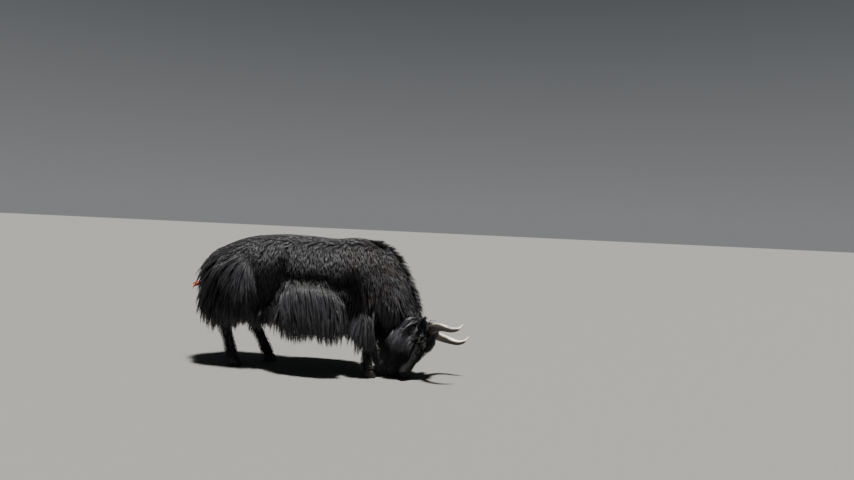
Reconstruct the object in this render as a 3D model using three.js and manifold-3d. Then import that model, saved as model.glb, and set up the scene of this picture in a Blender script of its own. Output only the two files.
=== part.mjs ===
// A domestic yak bull, life size, as a still museum model: it leans into a push with its head
// tucked down, so that the forehead faces forward and the muzzle hangs just over the ground.
// Millimetres, +X forward, +Y to the animal's left, +Z up, standing on Z = 0.
// Where the coat is short, the sizes are those of its outside. The long coat of the flanks,
// thighs, forelegs, neck, throat and tail is a core with flat, tapered locks rooted in it.

import * as THREE from "three";
import { mergeVertices } from "three/addons/utils/BufferGeometryUtils.js";
import Module from "manifold-3d";

const wasm = await Module();
wasm.setup();

// Driving sizes
const GAP = 0.3; // between touching pieces
const OVERCUT = 0.1; // how much deeper than its own cut face a lock is trimmed
const FOOTPRINT_CENTRE = new THREE.Vector3(195, 0, 0); // the model's origin, in the sizes below
const LEFT = 1;
const RIGHT = -1;
const SIDES = { left: LEFT, right: RIGHT };
const DOWN = new THREE.Vector3(0, 0, -1);
const CAP_RINGS = 2; // rings that round off the end of a limb
const SEED = 7;

// Colours of the finishes
const FINISH = {
  coat: { color: 0x17171a, roughness: 0.62 },
  horn: { color: 0xb9ad98, roughness: 0.38 },
  hoof: { color: 0x2b2724, roughness: 0.5 },
  eye: { color: 0x120c08, roughness: 0.08 },
  ribbon: { color: 0xb8401c, roughness: 0.8 },
};

// Trunk: x, y, z of the middle, half width, height above it, depth below it, rump to chest
const TRUNK_ROWS = [
  [-1000, 0, 850, 190, 215, 200],
  [-900, 0, 870, 265, 300, 280],
  [-740, 0, 880, 320, 365, 330],
  [-540, 0, 890, 345, 415, 370],
  [-250, 0, 890, 375, 445, 395],
  [50, 0, 890, 385, 440, 400],
  [330, 0, 890, 355, 425, 380],
  [560, 0, 900, 310, 435, 350],
  [720, 0, 900, 270, 388, 310],
  [840, 0, 890, 215, 300, 250],
];

// Neck: the same six sizes, square to its own line, from inside the shoulders to the poll
const NECK_ROWS = [
  [560, 0, 960, 260, 330, 330],
  [740, 0, 930, 245, 335, 320],
  [890, 0, 840, 210, 225, 260],
  [1000, 0, 720, 178, 158, 215],
  [1085, 0, 600, 148, 108, 175],
  [1150, 0, 505, 125, 85, 140],
  [1200, 0, 440, 105, 70, 110],
];

// Head, in its own frame: +X from the poll to the nose, +Z out of the forehead
const POLL = new THREE.Vector3(1345, 0, 450);
const NOSE_BACK_DEG = 20; // the nose points this far behind straight down
const HEAD_ROLL_DEG = 23; // the right horn is carried higher than the left
const HEAD_ROWS = [
  [-45, 0, -75, 92, 56, 85],
  [25, 0, -62, 116, 70, 118],
  [110, 0, -62, 120, 74, 142],
  [190, 0, -66, 104, 68, 140],
  [275, 0, -76, 82, 62, 118],
  [355, 0, -86, 70, 54, 88],
  [425, 0, -92, 74, 52, 66],
  [478, 0, -95, 74, 44, 54],
];

// Where the flesh is parted: a point of each cut, and the way that it faces
const HIND_CUT = { at: [-430, 0, 900], faces: [1, 0, 0] };
const FORE_CUT = { at: [430, 0, 900], faces: [1, 0, 0] };
const NECK_CUT = { at: [845, 0, 860], faces: [0.94, 0, -0.34] };
const HEAD_CUT = { at: [1190, 0, 490], faces: [0.66, 0, -0.75] };

// Legs: x and z of each joint in its pose, and how far the leg's line is from the middle
const LEGS = {
  right_hind: {
    side: RIGHT, y: 165, hind: true,
    hip: [-740, 905], knee: [-640, 720], hock: [-790, 440], fetlock: [-705, 128], foot: [-680, 62],
  },
  left_hind: {
    side: LEFT, y: 165, hind: true,
    hip: [-740, 905], knee: [-560, 715], hock: [-640, 430], fetlock: [-480, 128], foot: [-450, 62],
  },
  right_fore: {
    side: RIGHT, y: 175, hind: false,
    hip: [610, 860], knee: [640, 640], hock: [705, 365], fetlock: [728, 128], foot: [745, 62],
  },
  left_fore: {
    side: LEFT, y: 165, hind: false,
    hip: [640, 860], knee: [680, 640], hock: [785, 365], fetlock: [838, 128], foot: [860, 62],
  },
};

// Half width, and reach to the front and to the back, of a leg at each place down it
const HIND_SIZES = {
  hip: [105, 180, 165],
  knee: [112, 140, 165],
  shin: [80, 86, 108],
  hock: [52, 58, 66],
  cannon: [42, 48, 52],
  fetlock: [49, 52, 56],
  foot: [50, 54, 48],
};
const FORE_SIZES = {
  hip: [90, 135, 120],
  knee: [92, 105, 110],
  shin: [68, 76, 80],
  hock: [52, 58, 54],
  cannon: [41, 44, 46],
  fetlock: [47, 50, 54],
  foot: [48, 54, 48],
};
const LEG_CUT_BELOW_HOCK = 40;
const HOOF = { length: 118, width: 52, height: 66, between: 6, ahead: 8 };
const HOOF_TAPER = 0.25; // how much narrower each claw is at its toe
const HOOF_ROWS = [
  // height, and reach to the back, to the front and sideways, as shares of the sizes above
  [0, 0.42, 0.56, 0.47],
  [0.12, 0.43, 0.58, 0.5],
  [0.6, 0.4, 0.46, 0.48],
  [1, 0.34, 0.34, 0.42],
];
const HOOF_SIDES = 9;
const DEW_CLAW = { up: 122, back: 52, apart: 26, radius: 17 };

// Cores of the long coat, as far as half way to its tips
const FLANK_ROWS = [
  [-400, 250, 570, 66, 180, 70],
  [-140, 298, 560, 84, 210, 105],
  [120, 315, 560, 92, 225, 115],
  [340, 308, 560, 88, 225, 120],
  [500, 280, 560, 72, 185, 110],
];
const BREECH_ROWS = [
  [-800, 165, 930, 90, 140, 165],
  [-790, 215, 770, 118, 215, 235],
  [-785, 212, 620, 105, 215, 235],
  [-780, 200, 510, 62, 150, 165],
];
const FORE_COAT_ROWS = [
  [640, 185, 730, 60, 85, 95],
  [655, 226, 560, 82, 106, 116],
  [668, 222, 430, 56, 84, 88],
];
const THROAT_ROWS = [
  [925, 0, 640, 140, 120, 130],
  [965, 0, 510, 112, 92, 105],
  [985, 0, 420, 62, 56, 62],
];
const TAIL_ROWS = [
  [-1020, 0, 1030, 42, 38, 42],
  [-1078, 0, 930, 58, 44, 48],
  [-1098, 0, 800, 76, 50, 48],
  [-1098, 0, 690, 56, 42, 38],
];
const RIBBON_ROWS = [
  [-1110, 0, 775, 5, 14, 14],
  [-1170, 4, 785, 6, 20, 20],
  [-1225, -4, 772, 5, 26, 26],
  [-1262, 4, 758, 4, 16, 16],
];

// Horns, ears and eyes, in the head's frame, on its left side
const HORN_LINE = [
  [10, 68, -22],
  [-2, 145, -2],
  [-18, 218, 50],
  [-32, 250, 122],
  [-45, 246, 192],
  [-80, 232, 244],
  [-140, 226, 270],
];
const HORN_THICK = [42, 41, 38, 32, 25, 16, 5];
const EAR_LINE = [
  [74, 92, -72],
  [60, 118, -88],
  [22, 148, -106],
  [-28, 166, -112],
  [-62, 172, -108],
];
const EAR_SIZES = [
  [18, 18, 18],
  [30, 18, 18],
  [42, 15, 17],
  [33, 11, 12],
  [9, 5, 5],
];
const EAR_CUP = { moved: 13, raised: 0.4, share: 0.72 };
const EAR_ACROSS = [0.5, 0, 0.8];
const EYE = { at: [176, 82, -42], radius: 21 };
const LIDS = { radius: 25, slit: 34, apart: 23, out: 19 };

// Muzzle, in the head's frame
const MOUTH = {
  side: { at: [456, 66, -121], size: [136, 26, 5], tilt: 4 },
  front: { at: [516, 0, -125], size: [26, 116, 5], tilt: 4 },
};
const NOSTRIL = { at: [506, 38, -68], size: [19, 9, 13], turn: 35 };
const LIPS = [
  { at: [470, 0, -92], size: [50, 80, 40] }, // the pad over the upper lip
  { at: [448, 0, -134], size: [52, 54, 28] }, // the lower lip
];

// A lock's outline: share of its length, and its half width there as a share of its widest
const LOCK_OUTLINE = [
  [0, 0.4],
  [0.22, 0.88],
  [0.5, 1],
  [0.8, 0.55],
];
const LOCK_RISE = 0.34; // height of its ridge, as a share of its half width
const LOCK_SINK = 34;
const LOCK_TIP_GROW = 8; // times the gap
const LOCK_STEPS = 6; // straight lengths that its bend is drawn through
const LOCK_BEND = 1.3; // over 1, it bends late
const VARIED = { angle: 5, lean: 0.08, t: 0.012, length: 22, width: 0.12, lift: 0.3 };
const PARTING = 0.5; // how far the crest's locks lean to either side

// Locks in lines. t is the place along the form that they grow from, and angle goes round
// it, 0 at the animal's left and 90 at its top or front: both run from the line's first lock
// to its last. lift is how far they stand out at the root, droop how soon they hang, sweep
// the way that they lean.
const PAIRED_LOCKS = {
  flank: [
    {
      count: 9, t: [0.02, 0.98], angle: [22, 22], length: [300, 330],
      width: 104, lift: 0.3, sweep: [0.2, 0.05, 0],
    },
    {
      count: 9, t: [0.08, 0.96], angle: [-25, -30], length: [205, 235],
      width: 96, lift: 0.25, sweep: [0.1, 0, 0],
    },
  ],
  breech: [
    {
      count: 5, t: [0.28, 0.2], angle: [28, -56], length: [330, 300],
      width: 106, lift: 0.2, sweep: [0, 0.08, 0],
    },
    {
      count: 6, t: [0.6, 0.66], angle: [70, -92], length: [300, 250],
      width: 102, lift: 0.18, sweep: [0.02, 0, 0],
    },
  ],
  fore_coat: [
    {
      count: 3, t: [0.3, 0.3], angle: [65, -50], length: [250, 280],
      width: 96, lift: 0.22, sweep: [-0.06, 0.05, 0],
    },
    {
      count: 5, t: [0.74, 0.74], angle: [105, -80], length: [200, 230],
      width: 86, lift: 0.2, sweep: [-0.1, 0, 0],
    },
  ],
  trunk_hind: [
    {
      count: 4, t: [0.25, 0.36], angle: [26, 18], length: [400, 430],
      width: 108, lift: 0.14, sweep: [0.2, 0.15, 0],
    },
  ],
  neck: [
    {
      count: 3, t: [0.46, 0.8], angle: [34, 30], length: [230, 190],
      width: 108, lift: 0.14, sweep: [0.25, 0.3, 0],
    },
    {
      count: 3, t: [0.5, 0.8], angle: [-22, -16], length: [230, 190],
      width: 96, lift: 0.16, sweep: [0.1, 0.1, 0],
    },
  ],
  skull: [
    {
      count: 3, t: [0.2, 0.42], angle: [-35, -38], length: [140, 110],
      width: 66, lift: 0.12, sweep: [-0.3, 0.1, 0],
    },
  ],
};
const SINGLE_LOCKS = {
  near_flank: [
    {
      count: 7, t: [0.5, 0.67], angle: [186, 183], length: [450, 330],
      width: 126, lift: 0.2, sweep: [0.6, -0.05, 0],
    },
    {
      count: 5, t: [0.5, 0.69], angle: [205, 203], length: [330, 290],
      width: 120, lift: 0.3, sweep: [0.4, -0.1, 0],
    },
  ],
  tail: [
    {
      count: 4, t: [0.4, 0.4], angle: [0, 270], length: [300, 330],
      width: 70, lift: 0.14, sweep: [0, 0, 0],
    },
    {
      count: 5, t: [0.85, 0.85], angle: [40, 328], length: [240, 270],
      width: 70, lift: 0.12, sweep: [0, 0, 0],
    },
  ],
  throat: [
    {
      count: 5, t: [0.25, 0.25], angle: [-10, -170], length: [230, 230],
      width: 98, lift: 0.25, sweep: [0, 0, 0],
    },
    {
      count: 5, t: [0.75, 0.75], angle: [60, 340], length: [170, 190],
      width: 84, lift: 0.2, sweep: [0, 0, 0],
    },
  ],
  crest: [
    {
      count: 6, t: [0.3, 0.72], angle: [90, 90], length: [170, 130],
      width: 92, lift: 0.4, sweep: [0.3, 0, 0.25],
    },
  ],
  withers: [
    {
      count: 4, t: [0.76, 0.97], angle: [90, 90], length: [150, 150],
      width: 88, lift: 0.55, sweep: [0.9, 0, 0.7],
    },
  ],
  groin: [
    {
      count: 4, t: [0.35, 0.31], angle: [-40, -140], length: [200, 200],
      width: 104, lift: 0.3, sweep: [0, 0, 0],
    },
  ],
  brisket: [
    {
      count: 4, t: [0.84, 0.97], angle: [-120, -60], length: [190, 170],
      width: 92, lift: 0.3, sweep: [0.1, 0, 0],
    },
  ],
  forelock: [
    {
      count: 5, t: [0.1, 0.16], angle: [52, 128], length: [125, 125],
      width: 58, lift: 0.12, droop: 0.5, sweep: [-0.3, -0.3, 0],
    },
  ],
};

const vector = (list) => new THREE.Vector3(...list);
const radians = THREE.MathUtils.degToRad;

// Random numbers from -1 to 1, alike on every run
let seed = SEED;
function jitter() {
  seed = (seed * 16807) % 2147483647;
  return (2 * seed) / 2147483647 - 1;
}

// A closed surface through rings of points, from one end point to the other
function closed(rings, first, last) {
  const around = rings[0].length;
  const points = [first, ...rings.flat(), last];
  const id = (ring, k) => 1 + ring * around + (k % around);
  const faces = [];
  for (let k = 0; k < around; k++) {
    faces.push(0, id(0, k + 1), id(0, k));
    for (let ring = 0; ring < rings.length - 1; ring++) {
      faces.push(id(ring, k), id(ring, k + 1), id(ring + 1, k));
      faces.push(id(ring, k + 1), id(ring + 1, k + 1), id(ring + 1, k));
    }
    faces.push(points.length - 1, id(rings.length - 1, k), id(rings.length - 1, k + 1));
  }
  return new THREE.BufferGeometry().setFromPoints(points).setIndex(faces);
}

// A closed three.js geometry as a solid that can be joined and cut
function solid(geometry) {
  const bare = geometry.clone();
  bare.deleteAttribute("normal");
  bare.deleteAttribute("uv");
  const merged = mergeVertices(bare, 1e-4);
  return new wasm.Manifold(
    new wasm.Mesh({
      numProp: 3,
      vertProperties: new Float32Array(merged.attributes.position.array),
      triVerts: new Uint32Array(merged.index.array),
    }),
  );
}

const join = (solids) => wasm.Manifold.union(solids.flat());
const grown = (forms) => join(forms.map((form) => form.solid(GAP)));

// A rounded form along a curve. Each row is x, y, z, half width, reach to the front (or up)
// and reach to the back (or down) of its section.
class Limb {
  constructor(rows, { sides = 14, steps = 10, caps = [0.5, 0.5], across = [0, 1, 0], frame } = {}) {
    Object.assign(this, { sides, steps, caps, across: vector(across) });
    this.frame = frame ?? new THREE.Matrix4();
    this.line = new THREE.CatmullRomCurve3(rows.map((row) => vector(row.slice(0, 3))));
    this.size = new THREE.CatmullRomCurve3(rows.map((row) => vector(row.slice(3, 6))));
  }

  // A point of the surface: angle 0 is the left side, 90 degrees the front or top
  at(t, angle, { grow = 0, shrink = 1, past = 0 } = {}) {
    const along = this.line.getTangent(t);
    const left = this.across.clone().addScaledVector(along, -this.across.dot(along)).normalize();
    const front = new THREE.Vector3().crossVectors(along, left);
    const size = this.size.getPoint(t);
    const [c, s] = [Math.cos(angle), Math.sin(angle)];
    return this.line
      .getPoint(t)
      .addScaledVector(left, shrink * (size.x + grow) * c)
      .addScaledVector(front, shrink * ((s > 0 ? size.y : size.z) + grow) * s)
      .addScaledVector(along, past)
      .applyMatrix4(this.frame);
  }

  normal(t, angle) {
    const step = 0.02;
    const round = this.at(t, angle + step).sub(this.at(t, angle - step));
    const along = this.at(Math.min(1, t + step), angle).sub(this.at(Math.max(0, t - step), angle));
    return round.cross(along).normalize();
  }

  ring(t, grow, shrink, past) {
    const turn = (2 * Math.PI) / this.sides;
    return Array.from({ length: this.sides }, (_, k) => this.at(t, turn * k, { grow, shrink, past }));
  }

  end(t, grow) {
    const size = this.size.getPoint(t);
    const radius = (2 * size.x + size.y + size.z) / 4;
    return (t ? 1 : -1) * (this.caps[t] * radius + grow);
  }

  solid(grow = 0) {
    const rings = [];
    for (let i = -CAP_RINGS; i <= this.steps + CAP_RINGS; i++) {
      const t = THREE.MathUtils.clamp(i / this.steps, 0, 1);
      const turn = ((Math.max(-i, i - this.steps, 0) / (CAP_RINGS + 1)) * Math.PI) / 2;
      rings.push(this.ring(t, grow, Math.cos(turn), this.end(Math.round(t), grow) * Math.sin(turn)));
    }
    const first = this.at(0, 0, { shrink: 0, past: this.end(0, grow) });
    const last = this.at(1, 0, { shrink: 0, past: this.end(1, grow) });
    return solid(closed(rings, first, last));
  }
}

// A flat lock of hair with a low ridge, rooted in a form. It leaves along the form's surface
// and bends down as it grows.
class Lock {
  constructor(form, t, angle, { length, width, lift, droop = 1, sweep }) {
    const normal = form.normal(t, angle);
    const hang = DOWN.clone().add(sweep);
    const lie = hang.clone().addScaledVector(normal, -hang.dot(normal)).normalize();
    const start = lie.addScaledVector(normal, lift).normalize();
    hang.multiplyScalar(droop);
    const spots = [form.at(t, angle).addScaledVector(normal, -LOCK_SINK)];
    for (let i = 0; i < LOCK_STEPS; i++) {
      const way = start.clone().lerp(hang, (i / LOCK_STEPS) ** LOCK_BEND).normalize();
      spots.push(spots[i].clone().addScaledVector(way, (length + LOCK_SINK) / LOCK_STEPS));
    }
    this.line = new THREE.CatmullRomCurve3(spots);
    this.normal = normal;
    this.width = width / 2;
  }

  solid(grow = 0) {
    const slope = Math.atan(LOCK_RISE);
    const edge = (grow * (1 + Math.cos(slope))) / Math.sin(slope);
    const rings = LOCK_OUTLINE.map(([share, wide]) => {
      const along = this.line.getTangent(share);
      const out = this.normal.clone().addScaledVector(along, -this.normal.dot(along)).normalize();
      const side = new THREE.Vector3().crossVectors(out, along);
      const middle = this.line.getPoint(share).addScaledVector(along, share ? 0 : -grow);
      const half = this.width * wide;
      const spot = (across, up) => middle.clone().addScaledVector(side, across).addScaledVector(out, up);
      return [
        spot(half + edge, -grow),
        spot(0, half * LOCK_RISE + grow / Math.cos(slope)),
        spot(-half - edge, -grow),
      ];
    });
    const root = rings[0].reduce((sum, point) => sum.add(point), new THREE.Vector3()).divideScalar(3);
    const tip = this.line.getPoint(1).addScaledVector(this.line.getTangent(1), LOCK_TIP_GROW * grow);
    return solid(closed(rings, root, tip));
  }
}

// The locks of some lines, on one side of the body, or parted to both sides of its middle
function locksOf(form, lines, side = LEFT, parted = 0) {
  return lines.flatMap(({ count, t, angle, length, width, lift, droop, sweep }) =>
    Array.from({ length: count }, (_, i) => {
      const mix = ([from, to], spread) => from + ((to - from) * i) / (count - 1) + spread * jitter();
      const round = radians(mix(angle, VARIED.angle));
      const lean = vector(sweep);
      lean.y = lean.y * side + VARIED.lean * jitter() + (i % 2 ? parted : -parted);
      lean.x += VARIED.lean * jitter();
      const place = THREE.MathUtils.clamp(mix(t, VARIED.t), 0, 1);
      return new Lock(form, place, side === LEFT ? round : Math.PI - round, {
        length: mix(length, VARIED.length),
        width: width * (1 + VARIED.width * jitter()),
        lift: lift * (1 + VARIED.lift * jitter()),
        droop,
        sweep: lean,
      });
    }),
  );
}

// Everything on the side of a cut that it faces, or on the side behind it
function beyond({ at, faces }, way = 1, from = GAP / 2) {
  const reach = 6000;
  const facing = vector(faces).normalize().multiplyScalar(way);
  const box = new THREE.BoxGeometry(reach, reach, reach);
  box.translate(0, 0, reach / 2 + from);
  box.applyQuaternion(new THREE.Quaternion().setFromUnitVectors(new THREE.Vector3(0, 0, 1), facing));
  box.translate(...at);
  return solid(box);
}

// The largest closed surface of a solid
function largest(whole) {
  const bodies = whole.decompose();
  return bodies.reduce((best, body) => (body.volume() > best.volume() ? body : best));
}

// Rows of one side of the body from those of its left side
const onSide = (rows, side) => rows.map(([x, y, ...rest]) => [x, side * y, ...rest]);

const headFrame = new THREE.Matrix4()
  .makeTranslation(POLL)
  .multiply(new THREE.Matrix4().makeRotationX(radians(-HEAD_ROLL_DEG)))
  .multiply(new THREE.Matrix4().makeRotationY(radians(90 + NOSE_BACK_DEG)));

// An ellipsoid in the head's frame
function ball({ at, size, turn = 0 }, side = LEFT, grow = 0, detail = [12, 8]) {
  const geometry = new THREE.SphereGeometry(1, ...detail);
  geometry.scale(...size.map((radius) => radius + grow));
  geometry.rotateZ(radians(turn * side));
  geometry.translate(at[0], at[1] * side, at[2]);
  return solid(geometry.applyMatrix4(headFrame));
}

const eyeBall = (side, grow = 0) =>
  ball({ at: EYE.at, size: [EYE.radius, EYE.radius, EYE.radius] }, side, grow, [10, 6]);

// The slit between the lids: a lens, pointed at both corners of the eye
function eyeSlit(side) {
  const [x, y, z] = EYE.at;
  const size = [LIDS.slit, LIDS.slit, LIDS.slit];
  return ball({ at: [x, y + LIDS.out, z + LIDS.apart], size }, side, 0, [12, 8]).intersect(
    ball({ at: [x, y + LIDS.out, z - LIDS.apart], size }, side, 0, [12, 8]),
  );
}

// The line of the mouth: a slot round the muzzle, only as deep as the lips are thick
function mouth() {
  const slot = ({ at, size, tilt }, side) => {
    const box = new THREE.BoxGeometry(...size).rotateY(radians(tilt));
    return solid(box.translate(at[0], side * at[1], at[2]).applyMatrix4(headFrame));
  };
  return join([slot(MOUTH.side, LEFT), slot(MOUTH.side, RIGHT), slot(MOUTH.front, LEFT)]);
}

// Legs
function legLimb({ side, y, hind, ...joints }) {
  const between = (a, b) => a.map((value, k) => (value + b[k]) / 2);
  const places = {
    hip: joints.hip,
    knee: joints.knee,
    shin: between(joints.knee, joints.hock),
    hock: joints.hock,
    cannon: between(joints.hock, joints.fetlock),
    fetlock: joints.fetlock,
    foot: joints.foot,
  };
  const sizes = hind ? HIND_SIZES : FORE_SIZES;
  const rows = Object.entries(places).map(([name, [x, z]]) => [x, side * y, z, ...sizes[name]]);
  return new Limb(rows, { sides: 10, steps: 9, caps: [0.4, 0.05] });
}

// One claw of a cloven hoof, its flat sole on the ground
function claw(leg, which) {
  const { length, width, height, between, ahead } = HOOF;
  const rings = HOOF_ROWS.map(([up, back, front, wide]) =>
    Array.from({ length: HOOF_SIDES }, (_, k) => {
      const angle = (2 * Math.PI * k) / HOOF_SIDES;
      const [c, s] = [Math.cos(angle), Math.sin(angle)];
      const x = length * (c > 0 ? front : back) * c;
      return new THREE.Vector3(x, width * wide * s * (1 - HOOF_TAPER * Math.max(c, 0)), height * up);
    }),
  );
  const geometry = closed(rings, new THREE.Vector3(), new THREE.Vector3(0, 0, height));
  const sideways = leg.side * leg.y + which * (width + between) * 0.5;
  return geometry.translate(leg.foot[0] + ahead, sideways, 0);
}

function dewClaws(leg) {
  const [x] = leg.fetlock;
  return [LEFT, RIGHT].map((which) => {
    const bead = new THREE.SphereGeometry(DEW_CLAW.radius, 6, 4).scale(1, 0.8, 1.3);
    return solid(bead.translate(x - DEW_CLAW.back, leg.side * leg.y + which * DEW_CLAW.apart, DEW_CLAW.up));
  });
}

// The forms that the pieces are made of
const trunk = new Limb(TRUNK_ROWS, { sides: 18, steps: 14, caps: [0.55, 0.45] });
const neck = new Limb(NECK_ROWS, { sides: 14, steps: 8 });
const skull = new Limb(HEAD_ROWS, { sides: 14, steps: 10, caps: [0.5, 0.45], frame: headFrame });
const throat = new Limb(THROAT_ROWS, { sides: 10, steps: 4 });
const tail = new Limb(TAIL_ROWS, { sides: 8, steps: 6 });
const ribbon = new Limb(RIBBON_ROWS, { sides: 6, steps: 6, caps: [1, 0.3] });
const flanks = {};
const horns = {};
const ears = {};
for (const [name, side] of Object.entries(SIDES)) {
  flanks[name] = new Limb(onSide(FLANK_ROWS, side), { sides: 10, steps: 6 });
  const hornRow = (point, k) => [...point, ...Array(3).fill(HORN_THICK[k])];
  const hornRows = onSide(HORN_LINE, side).map(hornRow);
  horns[name] = new Limb(hornRows, { sides: 9, steps: 12, across: [1, 0, 0], frame: headFrame });
  const earRows = onSide(EAR_LINE, side).map((point, k) => [...point, ...EAR_SIZES[k]]);
  ears[name] = new Limb(earRows, { sides: 10, steps: 6, across: EAR_ACROSS, frame: headFrame });
}
const legs = Object.fromEntries(
  Object.entries(LEGS).map(([name, leg]) => {
    const coatRows = onSide(leg.hind ? BREECH_ROWS : FORE_COAT_ROWS, leg.side);
    return [name, { ...leg, bone: legLimb(leg), coat: new Limb(coatRows, { sides: 10, steps: 4 }) }];
  }),
);

// The cores, each clear of the others
const flesh = join([trunk.solid(), neck.solid(), skull.solid()]);
const fleshGrown = grown([trunk, neck, skull]);
const flankGrown = grown(Object.values(flanks));
const PARTS = {
  torso_hind: [[HIND_CUT, -1]],
  torso_barrel: [[HIND_CUT, 1], [FORE_CUT, -1]],
  torso_fore: [[FORE_CUT, 1], [NECK_CUT, -1]],
  neck: [[NECK_CUT, 1], [HEAD_CUT, -1]],
  head: [[NECK_CUT, 1], [HEAD_CUT, 1]],
};
const partOf = (whole, name, from) =>
  PARTS[name].reduce((left, [cut, way]) => left.intersect(beyond(cut, way, from)), whole);

// Nodes: name, finish, core, the same a gap larger, and the locks on it
const nodes = [];
function add(name, finish, core, coreGrown, locks = []) {
  nodes.push({ name, finish, core: largest(core), coreGrown, locks });
}
function fleshNode(name, forms, locks) {
  const core = join([flesh, ...forms.map((form) => form.solid())]);
  const coreGrown = join([fleshGrown, ...forms.map((form) => form.solid(GAP))]);
  add(name, "coat", partOf(core, name, GAP / 2), partOf(coreGrown, name, -GAP / 2 - OVERCUT), locks);
}

const bothSides = (form, lines) =>
  Object.values(SIDES).flatMap((side) => locksOf(form, lines, side));

for (const [name, side] of Object.entries(SIDES)) {
  const locks = locksOf(flanks[name], PAIRED_LOCKS.flank, side);
  if (side === RIGHT) locks.unshift(...locksOf(trunk, SINGLE_LOCKS.near_flank));
  add(`${name}_flank`, "coat", flanks[name].solid().subtract(fleshGrown), flanks[name].solid(GAP), locks);
}
fleshNode("torso_barrel", []);
fleshNode("torso_hind", [], [
  ...bothSides(trunk, PAIRED_LOCKS.trunk_hind),
  ...locksOf(trunk, SINGLE_LOCKS.groin),
]);
fleshNode("torso_fore", [], [
  ...locksOf(trunk, SINGLE_LOCKS.withers, LEFT, PARTING),
  ...locksOf(trunk, SINGLE_LOCKS.brisket),
]);
fleshNode("neck", [throat], [
  ...locksOf(neck, SINGLE_LOCKS.crest, LEFT, PARTING),
  ...bothSides(neck, PAIRED_LOCKS.neck),
  ...locksOf(throat, SINGLE_LOCKS.throat),
]);

const tailCore = tail.solid().subtract(fleshGrown);
add("tail", "coat", tailCore, tail.solid(GAP), locksOf(tail, SINGLE_LOCKS.tail));
add("tail_ribbon", "ribbon", ribbon.solid().subtract(tail.solid(GAP)), ribbon.solid(GAP));

for (const [name, leg] of Object.entries(legs)) {
  const kneeCut = { at: [leg.hock[0], 0, leg.hock[1] - LEG_CUT_BELOW_HOCK], faces: [0, 0, -1] };
  const hoofTop = HOOF.height + GAP;
  const hoofGap = new THREE.BoxGeometry(3 * HOOF.length, 4 * HOOF.width, 2 * hoofTop);
  hoofGap.translate(leg.foot[0], leg.side * leg.y, 0);
  const ownSide = beyond({ at: [0, 0, 0], faces: [0, leg.side, 0] });
  const above = beyond(kneeCut, -1);
  const upper = join([leg.bone.solid().intersect(above), leg.coat.solid()]).intersect(ownSide);
  const others = join([fleshGrown, flankGrown, grown([throat, tail])]);
  const upperGrown = join([leg.bone.solid(GAP).intersect(above), leg.coat.solid(GAP)]);
  const lines = leg.hind ? PAIRED_LOCKS.breech : PAIRED_LOCKS.fore_coat;
  add(`${name}_upper_leg`, "coat", upper.subtract(others), upperGrown, locksOf(leg.coat, lines, leg.side));
  const lower = join([leg.bone.solid().intersect(beyond(kneeCut)), dewClaws(leg)]);
  const clear = lower.subtract(join([solid(hoofGap), grown([leg.coat, throat])]));
  add(`${name}_lower_leg`, "coat", clear, leg.bone.solid(GAP));
  add(`${name}_claw_outer`, "hoof", solid(claw(leg, leg.side)));
  add(`${name}_claw_inner`, "hoof", solid(claw(leg, -leg.side)));
}

// Head with its horns, ears and eyes
const faceForms = [skull.solid(), ...LIPS.map((lip) => ball(lip, LEFT, 0, [10, 7]))];
let face = join(faceForms);
for (const side of Object.values(SIDES)) {
  const lids = ball({ at: EYE.at, size: Array(3).fill(LIDS.radius) }, side, 0, [12, 6]);
  face = face.add(lids).subtract(eyeSlit(side)).subtract(eyeBall(side, GAP));
  face = face.subtract(ball(NOSTRIL, side, 0, [8, 5]));
}
face = partOf(join([face, neck.solid()]), "head", GAP / 2).subtract(mouth());
for (const [name, side] of Object.entries(SIDES)) {
  const horn = horns[name];
  add(`${name}_horn`, "horn", horn.solid().subtract(fleshGrown), horn.solid(GAP));
  const cupLine = onSide(EAR_LINE, side).map(([x, y, z], k) => [
    x,
    y + EAR_CUP.moved * side,
    z + EAR_CUP.moved * EAR_CUP.raised,
    ...EAR_SIZES[k].map((radius) => radius * EAR_CUP.share),
  ]);
  const cupSize = { sides: 8, steps: 4, across: EAR_ACROSS, frame: headFrame };
  const hollow = new Limb(cupLine.slice(1), cupSize).solid();
  const ear = ears[name].solid().subtract(join([hollow, fleshGrown, horn.solid(GAP)]));
  add(`${name}_ear`, "coat", ear, ears[name].solid(GAP));
  add(`${name}_eye`, "eye", eyeBall(side), eyeBall(side, GAP));
}
add("head", "coat", face, partOf(fleshGrown, "head", -GAP / 2 - OVERCUT), [
  ...locksOf(skull, SINGLE_LOCKS.forelock),
  ...bothSides(skull, PAIRED_LOCKS.skull),
]);

// Trims each node's locks clear of the other cores and of the locks before them, and joins
// them to their core
const touching = (a, b) => {
  const [p, q] = [a.boundingBox(), b.boundingBox()];
  return [0, 1, 2].every((k) => p.min[k] < q.max[k] && q.min[k] < p.max[k]);
};
const earlier = [];
for (const node of nodes) {
  if (!node.locks.length) continue;
  const walls = nodes.filter((other) => other !== node && other.coreGrown).map((other) => other.coreGrown);
  const trimmed = node.locks.map((lock) => {
    const shape = lock.solid();
    const near = [...walls, ...earlier].filter((wall) => touching(wall, shape));
    return near.reduce((left, wall) => left.subtract(wall), shape);
  });
  node.core = join([node.core, ...trimmed]);
  earlier.push(...node.locks.map((lock) => lock.solid(GAP)));
}

// Builds the scene graph
const yak = new THREE.Group();
yak.position.copy(FOOTPRINT_CENTRE).negate();
for (const { name, finish, core } of nodes) {
  const { vertProperties, triVerts } = largest(core).getMesh();
  const geometry = new THREE.BufferGeometry()
    .setAttribute("position", new THREE.BufferAttribute(vertProperties, 3))
    .setIndex(new THREE.BufferAttribute(triVerts, 1));
  const material = new THREE.MeshStandardMaterial({ ...FINISH[finish], metalness: 0 });
  const mesh = new THREE.Mesh(geometry, material);
  mesh.name = name;
  yak.add(mesh);
}

export default yak;
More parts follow.
